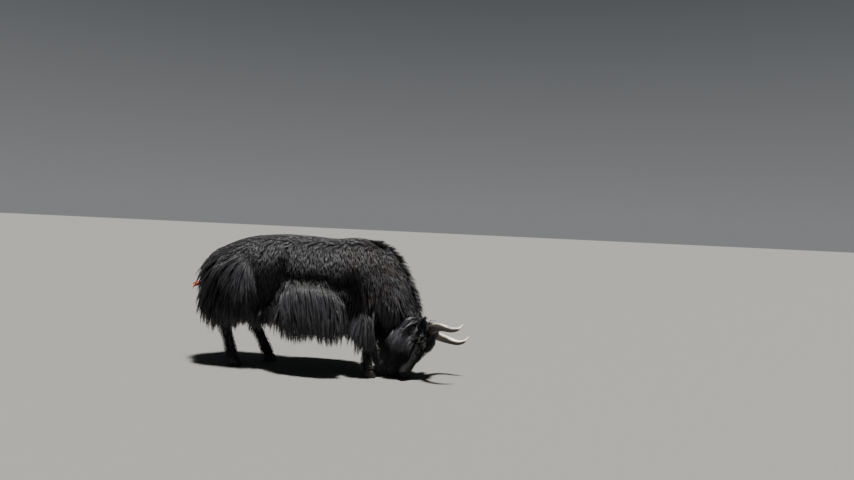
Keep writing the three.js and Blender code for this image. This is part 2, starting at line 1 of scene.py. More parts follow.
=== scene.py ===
"""A domestic yak bull, life size, leaning into a push with its head tucked down.

One skin stands for the flesh, and the coat grows from it as thin tufts of solid hair. The tables
are in millimetres, +X forward, +Y to the animal's left, +Z up, from the point under its chest
that FOOTPRINT names. Everything in Blender is in metres.
"""

import math

import bmesh
import bpy
import numpy as np
from mathutils import Matrix, Vector
from mathutils.bvhtree import BVHTree
from mathutils.kdtree import KDTree


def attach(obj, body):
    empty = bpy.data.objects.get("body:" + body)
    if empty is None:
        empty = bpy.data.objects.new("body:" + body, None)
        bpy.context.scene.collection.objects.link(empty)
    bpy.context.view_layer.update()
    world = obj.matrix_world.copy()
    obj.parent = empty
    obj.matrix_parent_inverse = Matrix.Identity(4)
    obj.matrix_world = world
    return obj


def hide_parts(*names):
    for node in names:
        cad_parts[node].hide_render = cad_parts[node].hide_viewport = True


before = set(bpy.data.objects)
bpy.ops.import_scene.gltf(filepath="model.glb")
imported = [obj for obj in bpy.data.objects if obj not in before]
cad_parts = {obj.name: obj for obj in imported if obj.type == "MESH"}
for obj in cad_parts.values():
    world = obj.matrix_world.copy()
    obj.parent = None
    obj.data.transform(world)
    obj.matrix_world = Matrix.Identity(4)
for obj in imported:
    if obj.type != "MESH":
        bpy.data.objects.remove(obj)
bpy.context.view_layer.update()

MM = 0.001
FOOTPRINT = (195, 0, 0)  # the model's origin, in the tables' millimetres
LEFT, RIGHT = 1, -1
SIDES = {"left": LEFT, "right": RIGHT}
DOWN = np.array((0.0, 0.0, -1.0))
rng = np.random.default_rng(11)

# Camera: the photograph's
FRAME_WIDTH = 854
FOCAL_PX = 700
HORIZON_BELOW_MIDDLE_PX = -18
CAMERA_AT = (2.443, -6.647, 1.52)
CAMERA_YAW, CAMERA_ROLL = math.radians(12), math.radians(2.5)
SENSOR = 36

# Forms: x, y, z of the middle, half width, reach up (or to the front), reach down (or to the
# back), and how deep the coat is that lies over the skin there
TRUNK_ROWS = [
    (-1000, 0, 850, 190, 215, 200, 30),
    (-900, 0, 870, 265, 300, 280, 30),
    (-740, 0, 880, 320, 365, 330, 26),
    (-540, 0, 890, 345, 415, 370, 20),
    (-250, 0, 890, 375, 445, 395, 18),
    (50, 0, 890, 385, 440, 400, 18),
    (330, 0, 890, 355, 425, 380, 18),
    (560, 0, 900, 310, 435, 350, 20),
    (720, 0, 900, 270, 388, 310, 24),
    (840, 0, 890, 215, 300, 250, 26),
]
NECK_ROWS = [
    (560, 0, 960, 260, 330, 330, 24),
    (740, 0, 930, 245, 335, 320, 24),
    (890, 0, 840, 210, 225, 260, 26),
    (1000, 0, 720, 178, 158, 215, 26),
    (1085, 0, 600, 148, 108, 175, 26),
    (1150, 0, 505, 125, 85, 140, 24),
    (1200, 0, 440, 105, 70, 110, 22),
]
THROAT_ROWS = [
    (925, 0, 640, 140, 120, 130, 34),
    (965, 0, 510, 112, 92, 105, 32),
    (985, 0, 420, 62, 56, 62, 24),
]
TAIL_ROWS = [
    (-1020, 0, 1030, 42, 38, 42, 16),
    (-1078, 0, 930, 58, 44, 48, 24),
    (-1098, 0, 800, 76, 50, 48, 28),
    (-1098, 0, 690, 56, 42, 38, 24),
]
FLANK_ROWS = [
    (-400, 250, 570, 66, 180, 70, 22),
    (-140, 298, 560, 84, 210, 105, 22),
    (120, 315, 560, 92, 225, 115, 20),
    (340, 308, 560, 88, 225, 120, 20),
    (500, 280, 560, 72, 185, 110, 24),
]
BREECH_ROWS = [
    (-800, 165, 930, 90, 140, 165, 36),
    (-790, 215, 770, 118, 215, 235, 38),
    (-785, 212, 620, 105, 215, 235, 38),
    (-780, 200, 510, 62, 150, 165, 32),
]
FORE_COAT_ROWS = [
    (640, 185, 730, 60, 85, 95, 28),
    (655, 226, 560, 82, 106, 116, 32),
    (668, 222, 430, 56, 84, 88, 28),
]

# Head, in its own frame: +X from the poll to the nose, +Z out of the forehead
POLL = (1345, 0, 450)
NOSE_BACK_DEG = 20
HEAD_ROLL_DEG = 23
HEAD_ROWS = [
    (-45, 0, -75, 92, 56, 85, 26),
    (25, 0, -62, 116, 70, 118, 22),
    (110, 0, -62, 120, 74, 142, 14),
    (190, 0, -66, 104, 68, 140, 7),
    (275, 0, -76, 82, 62, 118, 5),
    (355, 0, -86, 70, 54, 88, 4),
    (425, 0, -92, 74, 52, 66, 3),
    (478, 0, -95, 74, 44, 54, 2),
]
LIPS = [((470, 0, -92), (49, 78, 39)), ((448, 0, -134), (51, 53, 27))]
EYE_AT, EYE_RADIUS = (176, 82, -42), 20.5
HORN_LINE = [
    (10, 68, -22),
    (-2, 145, -2),
    (-18, 218, 50),
    (-32, 250, 122),
    (-45, 246, 192),
    (-80, 232, 244),
    (-140, 226, 270),
]
HORN_THICK = [42, 41, 38, 32, 25, 16, 4]
EAR_LINE = [
    (74, 92, -72),
    (60, 118, -88),
    (22, 148, -106),
    (-28, 166, -112),
    (-62, 172, -108),
]
EAR_SIZES = [(17, 17), (29, 17), (41, 15), (32, 11), (6, 4)]  # half width, depth of the cup

# Legs: x and z of each joint, and how far the leg's line is from the middle
LEGS = {
    "right_hind": (RIGHT, 165, [(-740, 905), (-640, 720), (-790, 440), (-705, 128), (-680, 62)]),
    "left_hind": (LEFT, 165, [(-740, 905), (-560, 715), (-640, 430), (-480, 128), (-450, 62)]),
    "right_fore": (RIGHT, 175, [(610, 860), (640, 640), (705, 365), (728, 128), (745, 62)]),
    "left_fore": (LEFT, 165, [(640, 860), (680, 640), (785, 365), (838, 128), (860, 62)]),
}
# Half width, reach to the front and to the back, and the coat's depth, from hip to foot, with
# the middles of the shin and the cannon bone
HIND_SIZES = [
    (105, 180, 165, 34),
    (112, 140, 165, 34),
    (80, 86, 108, 20),
    (52, 58, 66, 8),
    (42, 48, 52, 6),
    (49, 52, 56, 6),
    (50, 54, 48, 5),
]
FORE_SIZES = [
    (90, 135, 120, 30),
    (92, 105, 110, 28),
    (68, 76, 80, 18),
    (52, 58, 54, 8),
    (41, 44, 46, 6),
    (47, 50, 54, 6),
    (48, 54, 48, 5),
]
HOOF = {"length": 118, "width": 52, "height": 66, "between": 6, "ahead": 8}
DEW_CLAW = {"up": 122, "back": 47, "apart": 26, "radius": 13}

# How the coat lies: for each form, place along it, angle round it (0 at the left side, 90 at
# the top or front), the way the hair leans, its length and how far it lifts at the root. Each
# row is mirrored to the other side. The head's rows lean in the head's own frame.
COAT = {
    "trunk": [
        (0.00, 90, (-0.6, 0.1, -1), 140, 0.05),
        (0.00, 30, (-0.4, 0.3, -1), 220, 0.05),
        (0.00, -40, (-0.15, 0.1, -1), 220, 0.05),
        (0.11, 90, (-1, 0.15, -0.7), 110, 0.05),
        (0.11, 45, (-0.8, 0.3, -0.9), 170, 0.05),
        (0.11, 0, (-0.45, 0.2, -1), 280, 0.1),
        (0.22, 90, (-1, 0.25, -0.1), 110, 0.05),
        (0.22, 60, (-0.9, 0.3, -0.5), 140, 0.06),
        (0.19, 32, (-0.75, 0.15, -0.8), 330, 0.7, 60),
        (0.23, 28, (-0.4, 0.1, -1), 360, 0.9, 75),
        (0.20, 8, (-0.35, 0.1, -1), 320, 0.5, 60),
        (0.25, 6, (-0.1, 0.1, -1), 300, 0.5, 50),
        (0.22, -12, (-0.15, 0.1, -1), 280, 0.14),
        (0.29, 30, (-0.2, 0.15, -1), 110, 0.06),
        (0.29, 5, (0, 0.15, -1), 120, 0.06),
        (0.31, -20, (0, 0.15, -1), 150, 0.08),
        (0.33, 90, (-1, 0.3, 0), 90, 0.05),
        (0.33, 45, (-0.35, 0.3, -0.9), 100, 0.05),
        (0.33, 5, (-0.1, 0.1, -1), 105, 0.05),
        (0.33, -40, (0, 0.1, -1), 210, 0.1),
        (0.44, 90, (-1, 0.4, 0), 85, 0.05),
        (0.44, 45, (0.1, 0.3, -1), 95, 0.05),
        (0.44, 5, (0.15, 0.1, -1), 95, 0.05),
        (0.44, -85, (0, 0.1, -1), 170, 0.3),
        (0.56, 90, (-0.9, 0.4, 0), 85, 0.05),
        (0.56, 45, (0.3, 0.3, -1), 90, 0.05),
        (0.56, 15, (0.3, 0.1, -1), 90, 0.05),
        (0.56, -85, (0, 0.1, -1), 170, 0.3),
        (0.67, 90, (-0.8, 0.4, 0), 85, 0.05),
        (0.67, 45, (0.4, 0.3, -1), 90, 0.05),
        (0.67, 15, (0.3, 0.1, -1), 85, 0.05),
        (0.67, -85, (0, 0.1, -1), 160, 0.3),
        (0.78, 90, (-0.8, 0.4, 0), 85, 0.05),
        (0.78, 45, (0.4, 0.3, -1), 90, 0.05),
        (0.78, 5, (0.15, 0.1, -1), 85, 0.05),
        (0.78, -60, (0, 0.1, -1), 150, 0.2),
        (0.89, 90, (-0.6, 0.4, 0), 90, 0.05),
        (0.89, 40, (0.45, 0.3, -1), 100, 0.06),
        (0.89, -30, (0.1, 0.1, -1), 150, 0.12),
        (0.89, -85, (0, 0.1, -1), 180, 0.2),
        (1.00, -60, (0, 0.1, -1), 200, 0.2),
    ],
    "neck": [
        (0.17, 90, (0.5, 0.3, -0.1), 90, 0.05),
        (0.17, 55, (0.45, 0.3, -1), 80, 0.05),
        (0.17, 0, (0.2, 0.1, -1), 100, 0.06),
        (0.33, 90, (0.7, 0.4, -0.1), 80, 0.05),
        (0.33, 60, (0.6, 0.4, -1), 85, 0.05),
        (0.33, 20, (0.4, 0.2, -1), 110, 0.06),
        (0.33, -10, (0.2, 0.1, -1), 170, 0.1),
        (0.33, -45, (0, 0.1, -1), 260, 0.15),
        (0.50, 90, (0.8, 0.3, 0), 80, 0.05),
        (0.50, 60, (0.6, 0.3, -1), 90, 0.06),
        (0.50, 20, (0.4, 0.2, -1), 130, 0.08),
        (0.50, -20, (0.2, 0.1, -1), 210, 0.14),
        (0.50, -60, (0, 0.1, -1), 240, 0.2),
        (0.67, 90, (0.8, 0.3, -0.2), 80, 0.06),
        (0.67, 55, (0.5, 0.3, -1), 95, 0.08),
        (0.67, 10, (0.25, 0.25, -1), 190, 0.25),
        (0.67, -30, (0.1, 0.2, -1), 240, 0.25),
        (0.67, -70, (0, 0.1, -1), 260, 0.2),
        (0.83, 90, (0.7, 0.3, -0.6), 80, 0.15),
        (0.83, 60, (-0.7, 0.3, -0.6), 230, 0.4),
        (0.83, 20, (-0.6, 0.3, -0.8), 240, 0.3),
        (0.83, -10, (0, 0.3, -1), 240, 0.35),
        (0.83, -40, (0, 0.2, -1), 250, 0.25),
        (1.00, 90, (0.6, 0.3, -0.8), 80, 0.2),
        (1.00, 50, (-0.8, 0.3, -0.5), 250, 0.45),
        (1.00, 10, (-0.3, 0.25, -1), 190, 0.5),
        (1.00, -30, (0, 0.2, -1), 190, 0.4),
        (1.00, -70, (0, 0.1, -1), 260, 0.2),
    ],
    "skull": [
        (0.00, 90, (1, 0.2, 0.2), 130, 0.4, 26),
        (0.00, 0, (0.4, 0.3, -1), 150, 0.3),
        (0.14, 90, (1, 0.3, 0.1), 120, 0.5, 30),
        (0.14, 50, (1, 0.5, -0.3), 90, 0.3, 18),
        (0.14, 10, (0.5, 0.2, -1), 90, 0.2),
        (0.14, -88, (0.6, 0.1, -0.8), 260, 0.2),
        (0.29, 90, (1, 0.3, 0.1), 90, 0.45, 24),
        (0.29, 50, (1, 0.3, 0), 60, 0.25, 12),
        (0.29, 15, (0.7, 0.2, -0.6), 30, 0.06, 4),
        (0.29, -30, (0.4, 0.2, -1), 130, 0.2),
        (0.29, -88, (0.6, 0.1, -0.7), 270, 0.2),
        (0.43, 90, (0.8, 0.5, 0), 60, 0.35, 14),
        (0.43, 40, (0.8, 0.3, 0), 26, 0.12),
        (0.43, 5, (0.5, 0.1, -0.9), 20, 0.05, 3),
        (0.43, -40, (0.4, 0.1, -0.9), 80, 0.15),
        (0.43, -88, (0.6, 0, -0.6), 210, 0.2),
        (0.57, 90, (0.6, 0.6, 0), 30, 0.2, 7),
        (0.57, 0, (0.4, 0, -1), 15, 0.05, 2.5),
        (0.57, -45, (0.3, 0, -1), 30, 0.12),
        (0.57, -88, (0.5, 0, -0.6), 120, 0.2),
        (0.71, 90, (0.4, 0.6, 0), 13, 0.05, 2),
        (0.71, 0, (0.2, 0, -1), 12, 0.05, 1.5),
        (0.71, -88, (0.3, 0, -0.8), 60, 0.2),
        (0.86, 90, (0.3, 0.6, 0), 9, 0.05, 1),
        (0.86, 0, (0.1, 0, -1), 9, 0.05, 1),
        (0.86, -88, (0.2, 0, -0.9), 26, 0.16),
        (1.00, 0, (-0.2, 0, -1), 7, 0.05, 1),
    ],
    "throat": [
        (0.1, 0, (0, 0.1, -1), 430, 0.2),
        (0.1, -90, (-0.05, 0.1, -1), 430, 0.2),
        (0.5, 0, (0, 0.05, -1), 430, 0.15),
        (0.5, 90, (0.1, 0.05, -1), 400, 0.15),
        (0.5, -90, (-0.1, 0.05, -1), 430, 0.15),
        (0.9, 0, (0, 0.05, -1), 380, 0.12),
        (0.9, 90, (0.1, 0.05, -1), 360, 0.12),
        (0.9, -90, (-0.1, 0.05, -1), 380, 0.12),
    ],
    "tail": [
        (0.0, 90, (-0.2, 0.05, -1), 320, 0.05),
        (0.5, 0, (0.05, 0.08, -1), 320, 0.05),
        (0.5, -90, (0.05, 0.05, -1), 320, 0.05),
        (0.9, 0, (0.05, 0.05, -1), 280, 0.05),
        (0.9, -90, (0.08, 0.03, -1), 280, 0.05),
        (0.9, 90, (0, 0.03, -1), 290, 0.08),
    ],
}
LEG_COATS = {
    "breech": [
        (0.1, 0, (-0.15, 0.2, -1), 330, 0.12),
        (0.1, -80, (-0.2, 0.1, -1), 300, 0.06),
        (0.5, 60, (0.05, 0.1, -1), 280, 0.12),
        (0.5, 0, (-0.05, 0.15, -1), 320, 0.12),
        (0.5, -60, (0, 0.1, -1), 290, 0.06),
        (0.5, 180, (0, 0, -1), 220, 0.12),
        (0.95, 60, (0, 0.05, -1), 230, 0.12),
        (0.95, -60, (0.05, 0.05, -1), 250, 0.08),
        (0.95, 180, (0, 0, -1), 200, 0.12),
    ],
    "fore_coat": [
        (0.0, 0, (-0.2, 0.2, -1), 430, 0.3),
        (0.1, 60, (0, 0.2, -1), 430, 0.3),
        (0.1, 0, (-0.1, 0.2, -1), 430, 0.3),
        (0.1, -60, (-0.4, 0.15, -1), 400, 0.25),
        (0.5, 60, (0.0, 0.1, -1), 390, 0.15),
        (0.5, 0, (-0.1, 0.1, -1), 390, 0.15),
        (0.5, -60, (-0.2, 0.1, -1), 390, 0.15),
        (0.5, 180, (-0.05, 0, -1), 260, 0.15),
        (0.95, 0, (-0.05, 0.05, -1), 290, 0.12),
        (0.95, 90, (0, 0, -1), 270, 0.12),
        (0.95, -90, (-0.1, 0, -1), 280, 0.12),
        (0.95, 180, (-0.05, 0, -1), 210, 0.12),
    ],
    "bone": [
        (0.33, 0, (0, 0.05, -1), 200, 0.12, 16),
        (0.33, 180, (0, 0, -1), 190, 0.12, 16),
        (0.33, -90, (-0.1, 0, -1), 200, 0.12, 16),
        (0.50, 0, (0, 0, -1), 95, 0.2, 20),
        (0.50, 90, (0, 0, -1), 90, 0.2, 18),
        (0.50, 180, (0, 0, -1), 90, 0.2, 18),
        (0.50, -90, (-0.1, 0, -1), 100, 0.15, 15),
        (0.67, 0, (0, 0, -1), 55, 0.2, 15),
        (0.67, 90, (0, 0, -1), 50, 0.18, 15),
        (0.67, 180, (0, 0, -1), 52, 0.2, 15),
        (0.67, -90, (0, 0, -1), 70, 0.25, 20),
        (0.83, 0, (0, 0, -1), 48, 0.2, 14),
        (0.83, 90, (0, 0, -1), 45, 0.18, 14),
        (0.83, 180, (0, 0, -1), 48, 0.2, 14),
        (0.83, -90, (-0.15, 0, -1), 85, 0.4, 22),
        (1.00, 0, (0, 0, -1), 34, 0.14, 8),
        (1.00, 90, (0.1, 0, -1), 34, 0.14, 8),
        (1.00, -90, (-0.1, 0, -1), 38, 0.14, 8),
        (1.00, 180, (0, 0, -1), 34, 0.14, 8),
    ],
}
# Places of the flanks' coat, with the way it leans, its length, lift and depth, on one side only.
# The right flank's stands out as a round clump that falls forward, with short hair round it.
FLANK_COATS = {
    RIGHT: [
        ((-300, 370, 900), (0.05, 0.1, -1), 90, 0.05, 18),
        ((-140, 378, 900), (0.1, 0.1, -1), 80, 0.05, 18),
        ((-60, 380, 960), (0.15, 0.1, -1), 80, 0.05, 18),
        ((100, 385, 990), (0.2, 0.1, -1), 80, 0.05, 18),
        ((280, 375, 980), (0.25, 0.1, -1), 80, 0.05, 18),
        ((420, 345, 930), (0.2, 0.1, -1), 75, 0.05, 18),
        ((520, 320, 830), (0.1, 0.1, -1), 70, 0.05, 18),
        ((590, 290, 700), (0, 0.1, -1), 70, 0.05, 18),
        ((620, 240, 560), (0, 0, -1), 80, 0.05, 18),
        ((-240, 365, 760), (0, 0.1, -1), 90, 0.05, 20),
        ((-320, 300, 620), (0, 0.1, -1), 210, 0.1, 30),
        ((-110, 375, 800), (0.15, 0.05, -1), 250, 0.2, 26),
        ((0, 383, 860), (0.25, 0.05, -0.9), 200, 0.2, 26),
        ((120, 388, 890), (0.3, 0, -0.9), 130, 0.08, 20),
        ((240, 385, 890), (0.4, 0, -0.9), 130, 0.08, 20),
        ((360, 372, 855), (0.5, 0, -0.9), 130, 0.08, 20),
        ((450, 350, 780), (0.3, 0, -1), 110, 0.05, 20),
        ((500, 325, 680), (0.1, 0, -1), 110, 0.05, 18),
        ((515, 300, 580), (0, 0, -1), 110, 0.05, 18),
        ((60, 395, 700), (0.1, 0.05, -1), 320, 0.25, 36),
        ((250, 405, 700), (0.4, 0.05, -1), 330, 0.25, 36),
        ((400, 380, 620), (0.2, 0, -1), 230, 0.15, 28),
        ((-180, 350, 560), (0, 0.1, -1), 230, 0.15, 30),
        ((100, 390, 540), (0.1, 0.1, -1), 250, 0.2, 35),
        ((330, 385, 520), (0.3, 0.1, -1), 230, 0.2, 35),
        ((150, 330, 460), (0.1, 0, -1), 180, 0.15, 25),
    ],
    LEFT: [
        ((-300, 365, 840), (0.05, 0.1, -1), 110, 0.06, 20),
        ((50, 378, 860), (0.15, 0.15, -1), 120, 0.08, 20),
        ((350, 355, 850), (0.15, 0.15, -1), 120, 0.08, 20),
        ((-350, 300, 700), (0.1, 0.2, -1), 300, 0.2, 26),
        ((-150, 360, 740), (0.1, 0.1, -1), 330, 0.4, 40),
        ((120, 375, 760), (0.15, 0.1, -1), 340, 0.4, 40),
        ((340, 365, 740), (0.1, 0.1, -1), 330, 0.4, 40),
        ((480, 320, 690), (0.05, 0.1, -1), 300, 0.35, 36),
        ((-150, 370, 580), (0.05, 0.1, -1), 280, 0.2, 26),
        ((120, 395, 580), (0.1, 0.1, -1), 290, 0.2, 26),
        ((350, 385, 570), (0.05, 0.1, -1), 280, 0.2, 26),
        ((150, 330, 460), (0, 0, -1), 190, 0.15, 24),
    ],
}


def unit(vectors):
    return vectors / np.maximum(np.linalg.norm(vectors, axis=-1, keepdims=True), 1e-9)


def dot(a, b):
    return (a * b).sum(-1, keepdims=True)


def spot(place):
    """A place of the tables, in metres from the model's origin."""
    return (np.asarray(place, float) - FOOTPRINT) * MM


def head_matrix():
    turn = Matrix.Rotation(math.radians(-HEAD_ROLL_DEG), 4, "X")
    nod = Matrix.Rotation(math.radians(90 + NOSE_BACK_DEG), 4, "Y")
    return np.array(Matrix.Translation(spot(POLL)) @ turn @ nod)


HEAD = head_matrix()


def moved(points, matrix):
    return points @ matrix[:3, :3].T + matrix[:3, 3]


def in_head(points):
    """Points in the head's frame, in millimetres."""
    return (points - HEAD[:3, 3]) @ HEAD[:3, :3] / MM


def folded(points):
    """The same, with those of the right side mirrored to the left."""
    places = in_head(points)
    places[:, 1] = abs(places[:, 1])
    return places


def wall(rings, sides):
    """Quads from each ring of vertices to the next."""
    k = np.arange(sides)
    after = (k + 1) % sides
    faces = []
    for low in range(0, (rings - 1) * sides, sides):
        high = low + sides
        faces += list(zip(low + k, low + after, high + after, high + k))
    return faces


def closed_wall(rings, sides):
    """The same, closed by the two vertices that follow the rings, one at each end."""
    first, last = rings * sides, (rings - 1) * sides
    k = np.arange(sides)
    pairs = list(zip(k, (k + 1) % sides))
    faces = wall(rings, sides) + [(first, b, a) for a, b in pairs]
    return faces + [(first + 1, last + a, last + b) for a, b in pairs]


class Form:
    """A rounded form along a smooth curve through its rows.

    Angles go round it from the left side, 0, by the top or front, 90 degrees."""

    def __init__(self, rows, side=LEFT, across=(0, 1, 0), caps=(0.5, 0.5), in_head_frame=False):
        rows = np.array(rows, float)
        rows[:, 1] *= side
        self.matrix = HEAD if in_head_frame else np.eye(4)
        if not in_head_frame:
            rows[:, :3] -= FOOTPRINT
        rows *= MM
        self.rows = np.vstack([2 * rows[0] - rows[1], rows, 2 * rows[-1] - rows[-2]])
        self.across = np.array(across, float)
        self.caps = caps

    def row(self, t):
        """Every column at places t, from 0 to 1, by a Catmull-Rom curve."""
        u = np.clip(t, 0, 1) * (len(self.rows) - 3)
        i = np.minimum(u.astype(int), len(self.rows) - 4)
        f = (u - i)[..., None]
        a, b, c, d = (self.rows[i + k] for k in range(4))
        bend = (2 * a - 5 * b + 4 * c - d) * f**2 + (3 * b - a - 3 * c + d) * f**3
        return b + 0.5 * ((c - a) * f + bend)

    def at(self, t, angle, depth=1.0, shrink=1.0, past=0.0):
        """Points at places t and angles (radians), depth times the coat's depth under it."""
        t = np.asarray(t, float)
        row = self.row(t)
        along = unit(self.row(t + 0.01)[..., :3] - self.row(t - 0.01)[..., :3])
        left = unit(self.across - along * dot(along, self.across))
        front = np.cross(along, left)
        c, s = np.cos(angle), np.sin(angle)
        under = row[..., 6] * depth
        wide = (row[..., 3] - under) * shrink * c
        reach = (np.where(s > 0, row[..., 4], row[..., 5]) - under) * shrink * s
        points = row[..., :3] + left * wide[..., None] + front * reach[..., None]
        return moved(points + along * np.asarray(past)[..., None], self.matrix)

    def mesh(self, steps, sides, depth=1.0, cap_rings=5, relief=None):
        """Vertices and faces of the closed form, its ends rounded.

        relief(t, angle) is how much wider the form is there, as a share."""
        rings = np.arange(-cap_rings, steps + cap_rings + 1)
        t = np.clip(rings / steps, 0, 1)
        over = np.maximum(np.maximum(-rings, rings - steps), 0) / (cap_rings + 1) * math.pi / 2
        row = self.row(t)
        radius = (2 * row[:, 3] + row[:, 4] + row[:, 5]) / 4 - row[:, 6] * depth
        cap = np.where(rings > steps / 2, self.caps[1], -self.caps[0]) * radius
        angle = np.arange(sides) * 2 * math.pi / sides
        shape = (len(t), sides)
        shrink = np.cos(over)[:, None] * (1 + (0 if relief is None else relief(t[:, None], angle)))
        points = self.at(
            np.broadcast_to(t[:, None], shape),
            np.broadcast_to(angle, shape),
            depth,
            np.broadcast_to(shrink, shape),
            np.broadcast_to((cap * np.sin(over))[:, None], shape),
        ).reshape(-1, 3)
        ends = self.at(np.array([0.0, 1.0]), np.zeros(2), depth, 0, cap[[0, -1]])
        return np.vstack([points, ends]), closed_wall(len(t), sides)


def leg_rows(side, y, joints, sizes):
    """Rows of a leg's form, from its joints."""
    hip, knee, hock, fetlock, foot = (np.array(joint, float) for joint in joints)
    places = [hip, knee, (knee + hock) / 2, hock, (hock + fetlock) / 2, fetlock, foot]
    return [(x, side * y, z, *size) for (x, z), size in zip(places, sizes)]


trunk = Form(TRUNK_ROWS, caps=(0.55, 0.45))
neck = Form(NECK_ROWS)
skull = Form(HEAD_ROWS, caps=(0.5, 0.45), in_head_frame=True)
throat = Form(THROAT_ROWS)
tail = Form(TAIL_ROWS)
flanks = {name: Form(FLANK_ROWS, side) for name, side in SIDES.items()}
bones, leg_coats = {}, {}
for name, (side, y, joints) in LEGS.items():
    hind = name.endswith("hind")
    bones[name] = Form(leg_rows(side, y, joints, HIND_SIZES if hind else FORE_SIZES), caps=(0.4, 0))
    leg_coats[name] = Form(BREECH_ROWS if hind else FORE_COAT_ROWS, side)


def linked(name, data):
    """A new object with that data, in the scene."""
    obj = bpy.data.objects.new(name, data)
    bpy.context.scene.collection.objects.link(obj)
    return obj


def new_object(name, points, faces):
    """A smooth-shaded mesh object."""
    mesh = bpy.data.meshes.new(name)
    mesh.from_pydata(np.asarray(points).tolist(), [], [tuple(map(int, face)) for face in faces])
    mesh.shade_smooth()
    return linked(name, mesh)


def joined(parts):
    """Vertices and faces of several meshes as one."""
    points, faces, start = [], [], 0
    for part_points, part_faces in parts:
        points.append(part_points)
        faces += [tuple(start + i for i in face) for face in part_faces]
        start += len(part_points)
    return np.vstack(points), faces


def apply_modifiers(obj):
    """Give the object the mesh that its modifiers make of it."""
    graph = bpy.context.evaluated_depsgraph_get()
    mesh = bpy.data.meshes.new_from_object(obj.evaluated_get(graph))
    obj.modifiers.clear()
    old, obj.data = obj.data, mesh
    bpy.data.meshes.remove(old)
    mesh.shade_smooth()


def vectors(items, attribute):
    """An attribute of a mesh's items, as rows of three."""
    found = np.empty(len(items) * 3)
    items.foreach_get(attribute, found)
    return found.reshape(-1, 3)


def coordinates(mesh):
    return vectors(mesh.vertices, "co")


def normals_of(mesh):
    return vectors(mesh.vertex_normals, "vector")


def set_attribute(mesh, name, values):
    """A value for each vertex, which the materials can read."""
    mesh.attributes.new(name, "FLOAT", "POINT").data.foreach_set("value", values)


def ellipsoid(centre, radii, rings=16, sides=24):
    """An ellipsoid in the head's frame, centre and radii in millimetres."""
    turn = np.linspace(0, math.pi, rings + 1)[1:-1, None]
    round_ = np.arange(sides) * 2 * math.pi / sides
    shape = (rings - 1, sides)
    unit_points = np.stack(
        [
            np.broadcast_to(np.cos(turn), shape),
            np.sin(turn) * np.cos(round_),
            np.sin(turn) * np.sin(round_),
        ],
        -1,
    ).reshape(-1, 3)
    unit_points = np.vstack([unit_points, [(1, 0, 0), (-1, 0, 0)]])
    points = (unit_points * radii + centre) * MM
    return moved(points, HEAD), closed_wall(rings - 1, sides)


# Skin: its forms, with the steps along them and the sides round them
MESHED = [
    ([trunk], 40, 48),
    ([neck], 28, 40),
    ([skull], 32, 40),
    ([throat], 12, 24),
    ([tail], 16, 20),
    (flanks.values(), 20, 28),
    (bones.values(), 40, 24),
    (leg_coats.values(), 14, 28),
]
VOXEL = 0.011
SKIN_SMOOTHING, HEAD_SMOOTHING, EYE_SMOOTHING = 6, 8, 2
HEAD_FROM, HEAD_FADE = 95, 30  # how far down the head its skin is finer, and the way to that
HEAD_MIDDLE, HEAD_REACH = -70, 190  # how deep the middle of the head is, and what is near it
HEAD_CUTS = 3

MOUTH_LINE = [(380, 72, -108), (430, 76, -113), (485, 68, -121), (516, 44, -126), (524, 0, -127)]
MOUTH_DEEP, MOUTH_WIDE = 7, 5
LIP_RAISED, LIP_WIDE = 3, 13
NOSTRIL_AT, NOSTRIL_SIZE, NOSTRIL_DEEP, NOSTRIL_TURN = (508, 40, -70), (17, 9), 16, 38
NOSTRIL_BEND = 0.018  # how much it bends to a comma
NOSTRIL_REACH, NOSTRIL_RIM = 45, 4
BROW_AT, BROW_SIZE, BROW_RAISED = (150, 92, -12), 34, 6
CHEEK_AT, CHEEK_SIZE, CHEEK_RAISED = (232, 80, -84), 38, 4
EYE_AXIS, LID_LINE = (0.12, 0.97, 0.2), (1, 0, -0.22)
# The lids' dome, half the slit's length, its height to both sides of its line, and how far the
# skin goes in behind the lids' edges
LID_RADIUS, LID_SLIT, LID_HIGH, LID_LOW, LID_EDGE = 23.6, 17.5, 9, 6.5, 4
LID_CORNER = 0.75  # how pointed the slit's corners are
LID_SHUT = (-0.6, 0.7)  # across the edge, from open to shut
LID_BLEND = 3  # how softly the dome meets the skin
LID_REACH, LID_FULL, LID_BACK = 30, 22, 12
LID_CUTS = 3
# Round the slit: how high, how far from its edge and how wide
LID_FOLDS = [(0.9, 1.6, 1.5), (-1.7, 6.5, 1.6), (0.8, 9.5, 1.4)]
LID_FOLDS_REACH = 26
# Lines of the hollows in the skin of the body, with how wide and deep they are
HOLLOWS = [
    ([(-100, 390, 1150), (-125, 390, 1010), (-180, 375, 830)], 80, 85),
    ([(-230, 350, 760), (-240, 320, 600), (-240, 280, 520)], 115, 60),
    ([(560, 300, 900), (600, 280, 760), (600, 260, 600)], 85, 60),
    ([(-60, 400, 925), (150, 400, 930), (350, 380, 915), (470, 350, 860)], 55, 45),
]


def from_polyline(points, line):
    """How far each point is from a line through a few places."""
    least = np.full(len(points), 1e9)
    for a, b in zip(line[:-1], line[1:]):
        a, b = np.array(a, float), np.array(b, float)
        share = np.clip((points - a) @ (b - a) / ((b - a) @ (b - a)), 0, 1)[:, None]
        least = np.minimum(least, np.linalg.norm(points - a - share * (b - a), axis=1))
    return least


def bell(distance, size):
    """1 at no distance, falling to near 0 at twice the size."""
    return np.exp(-((distance / size) ** 2))


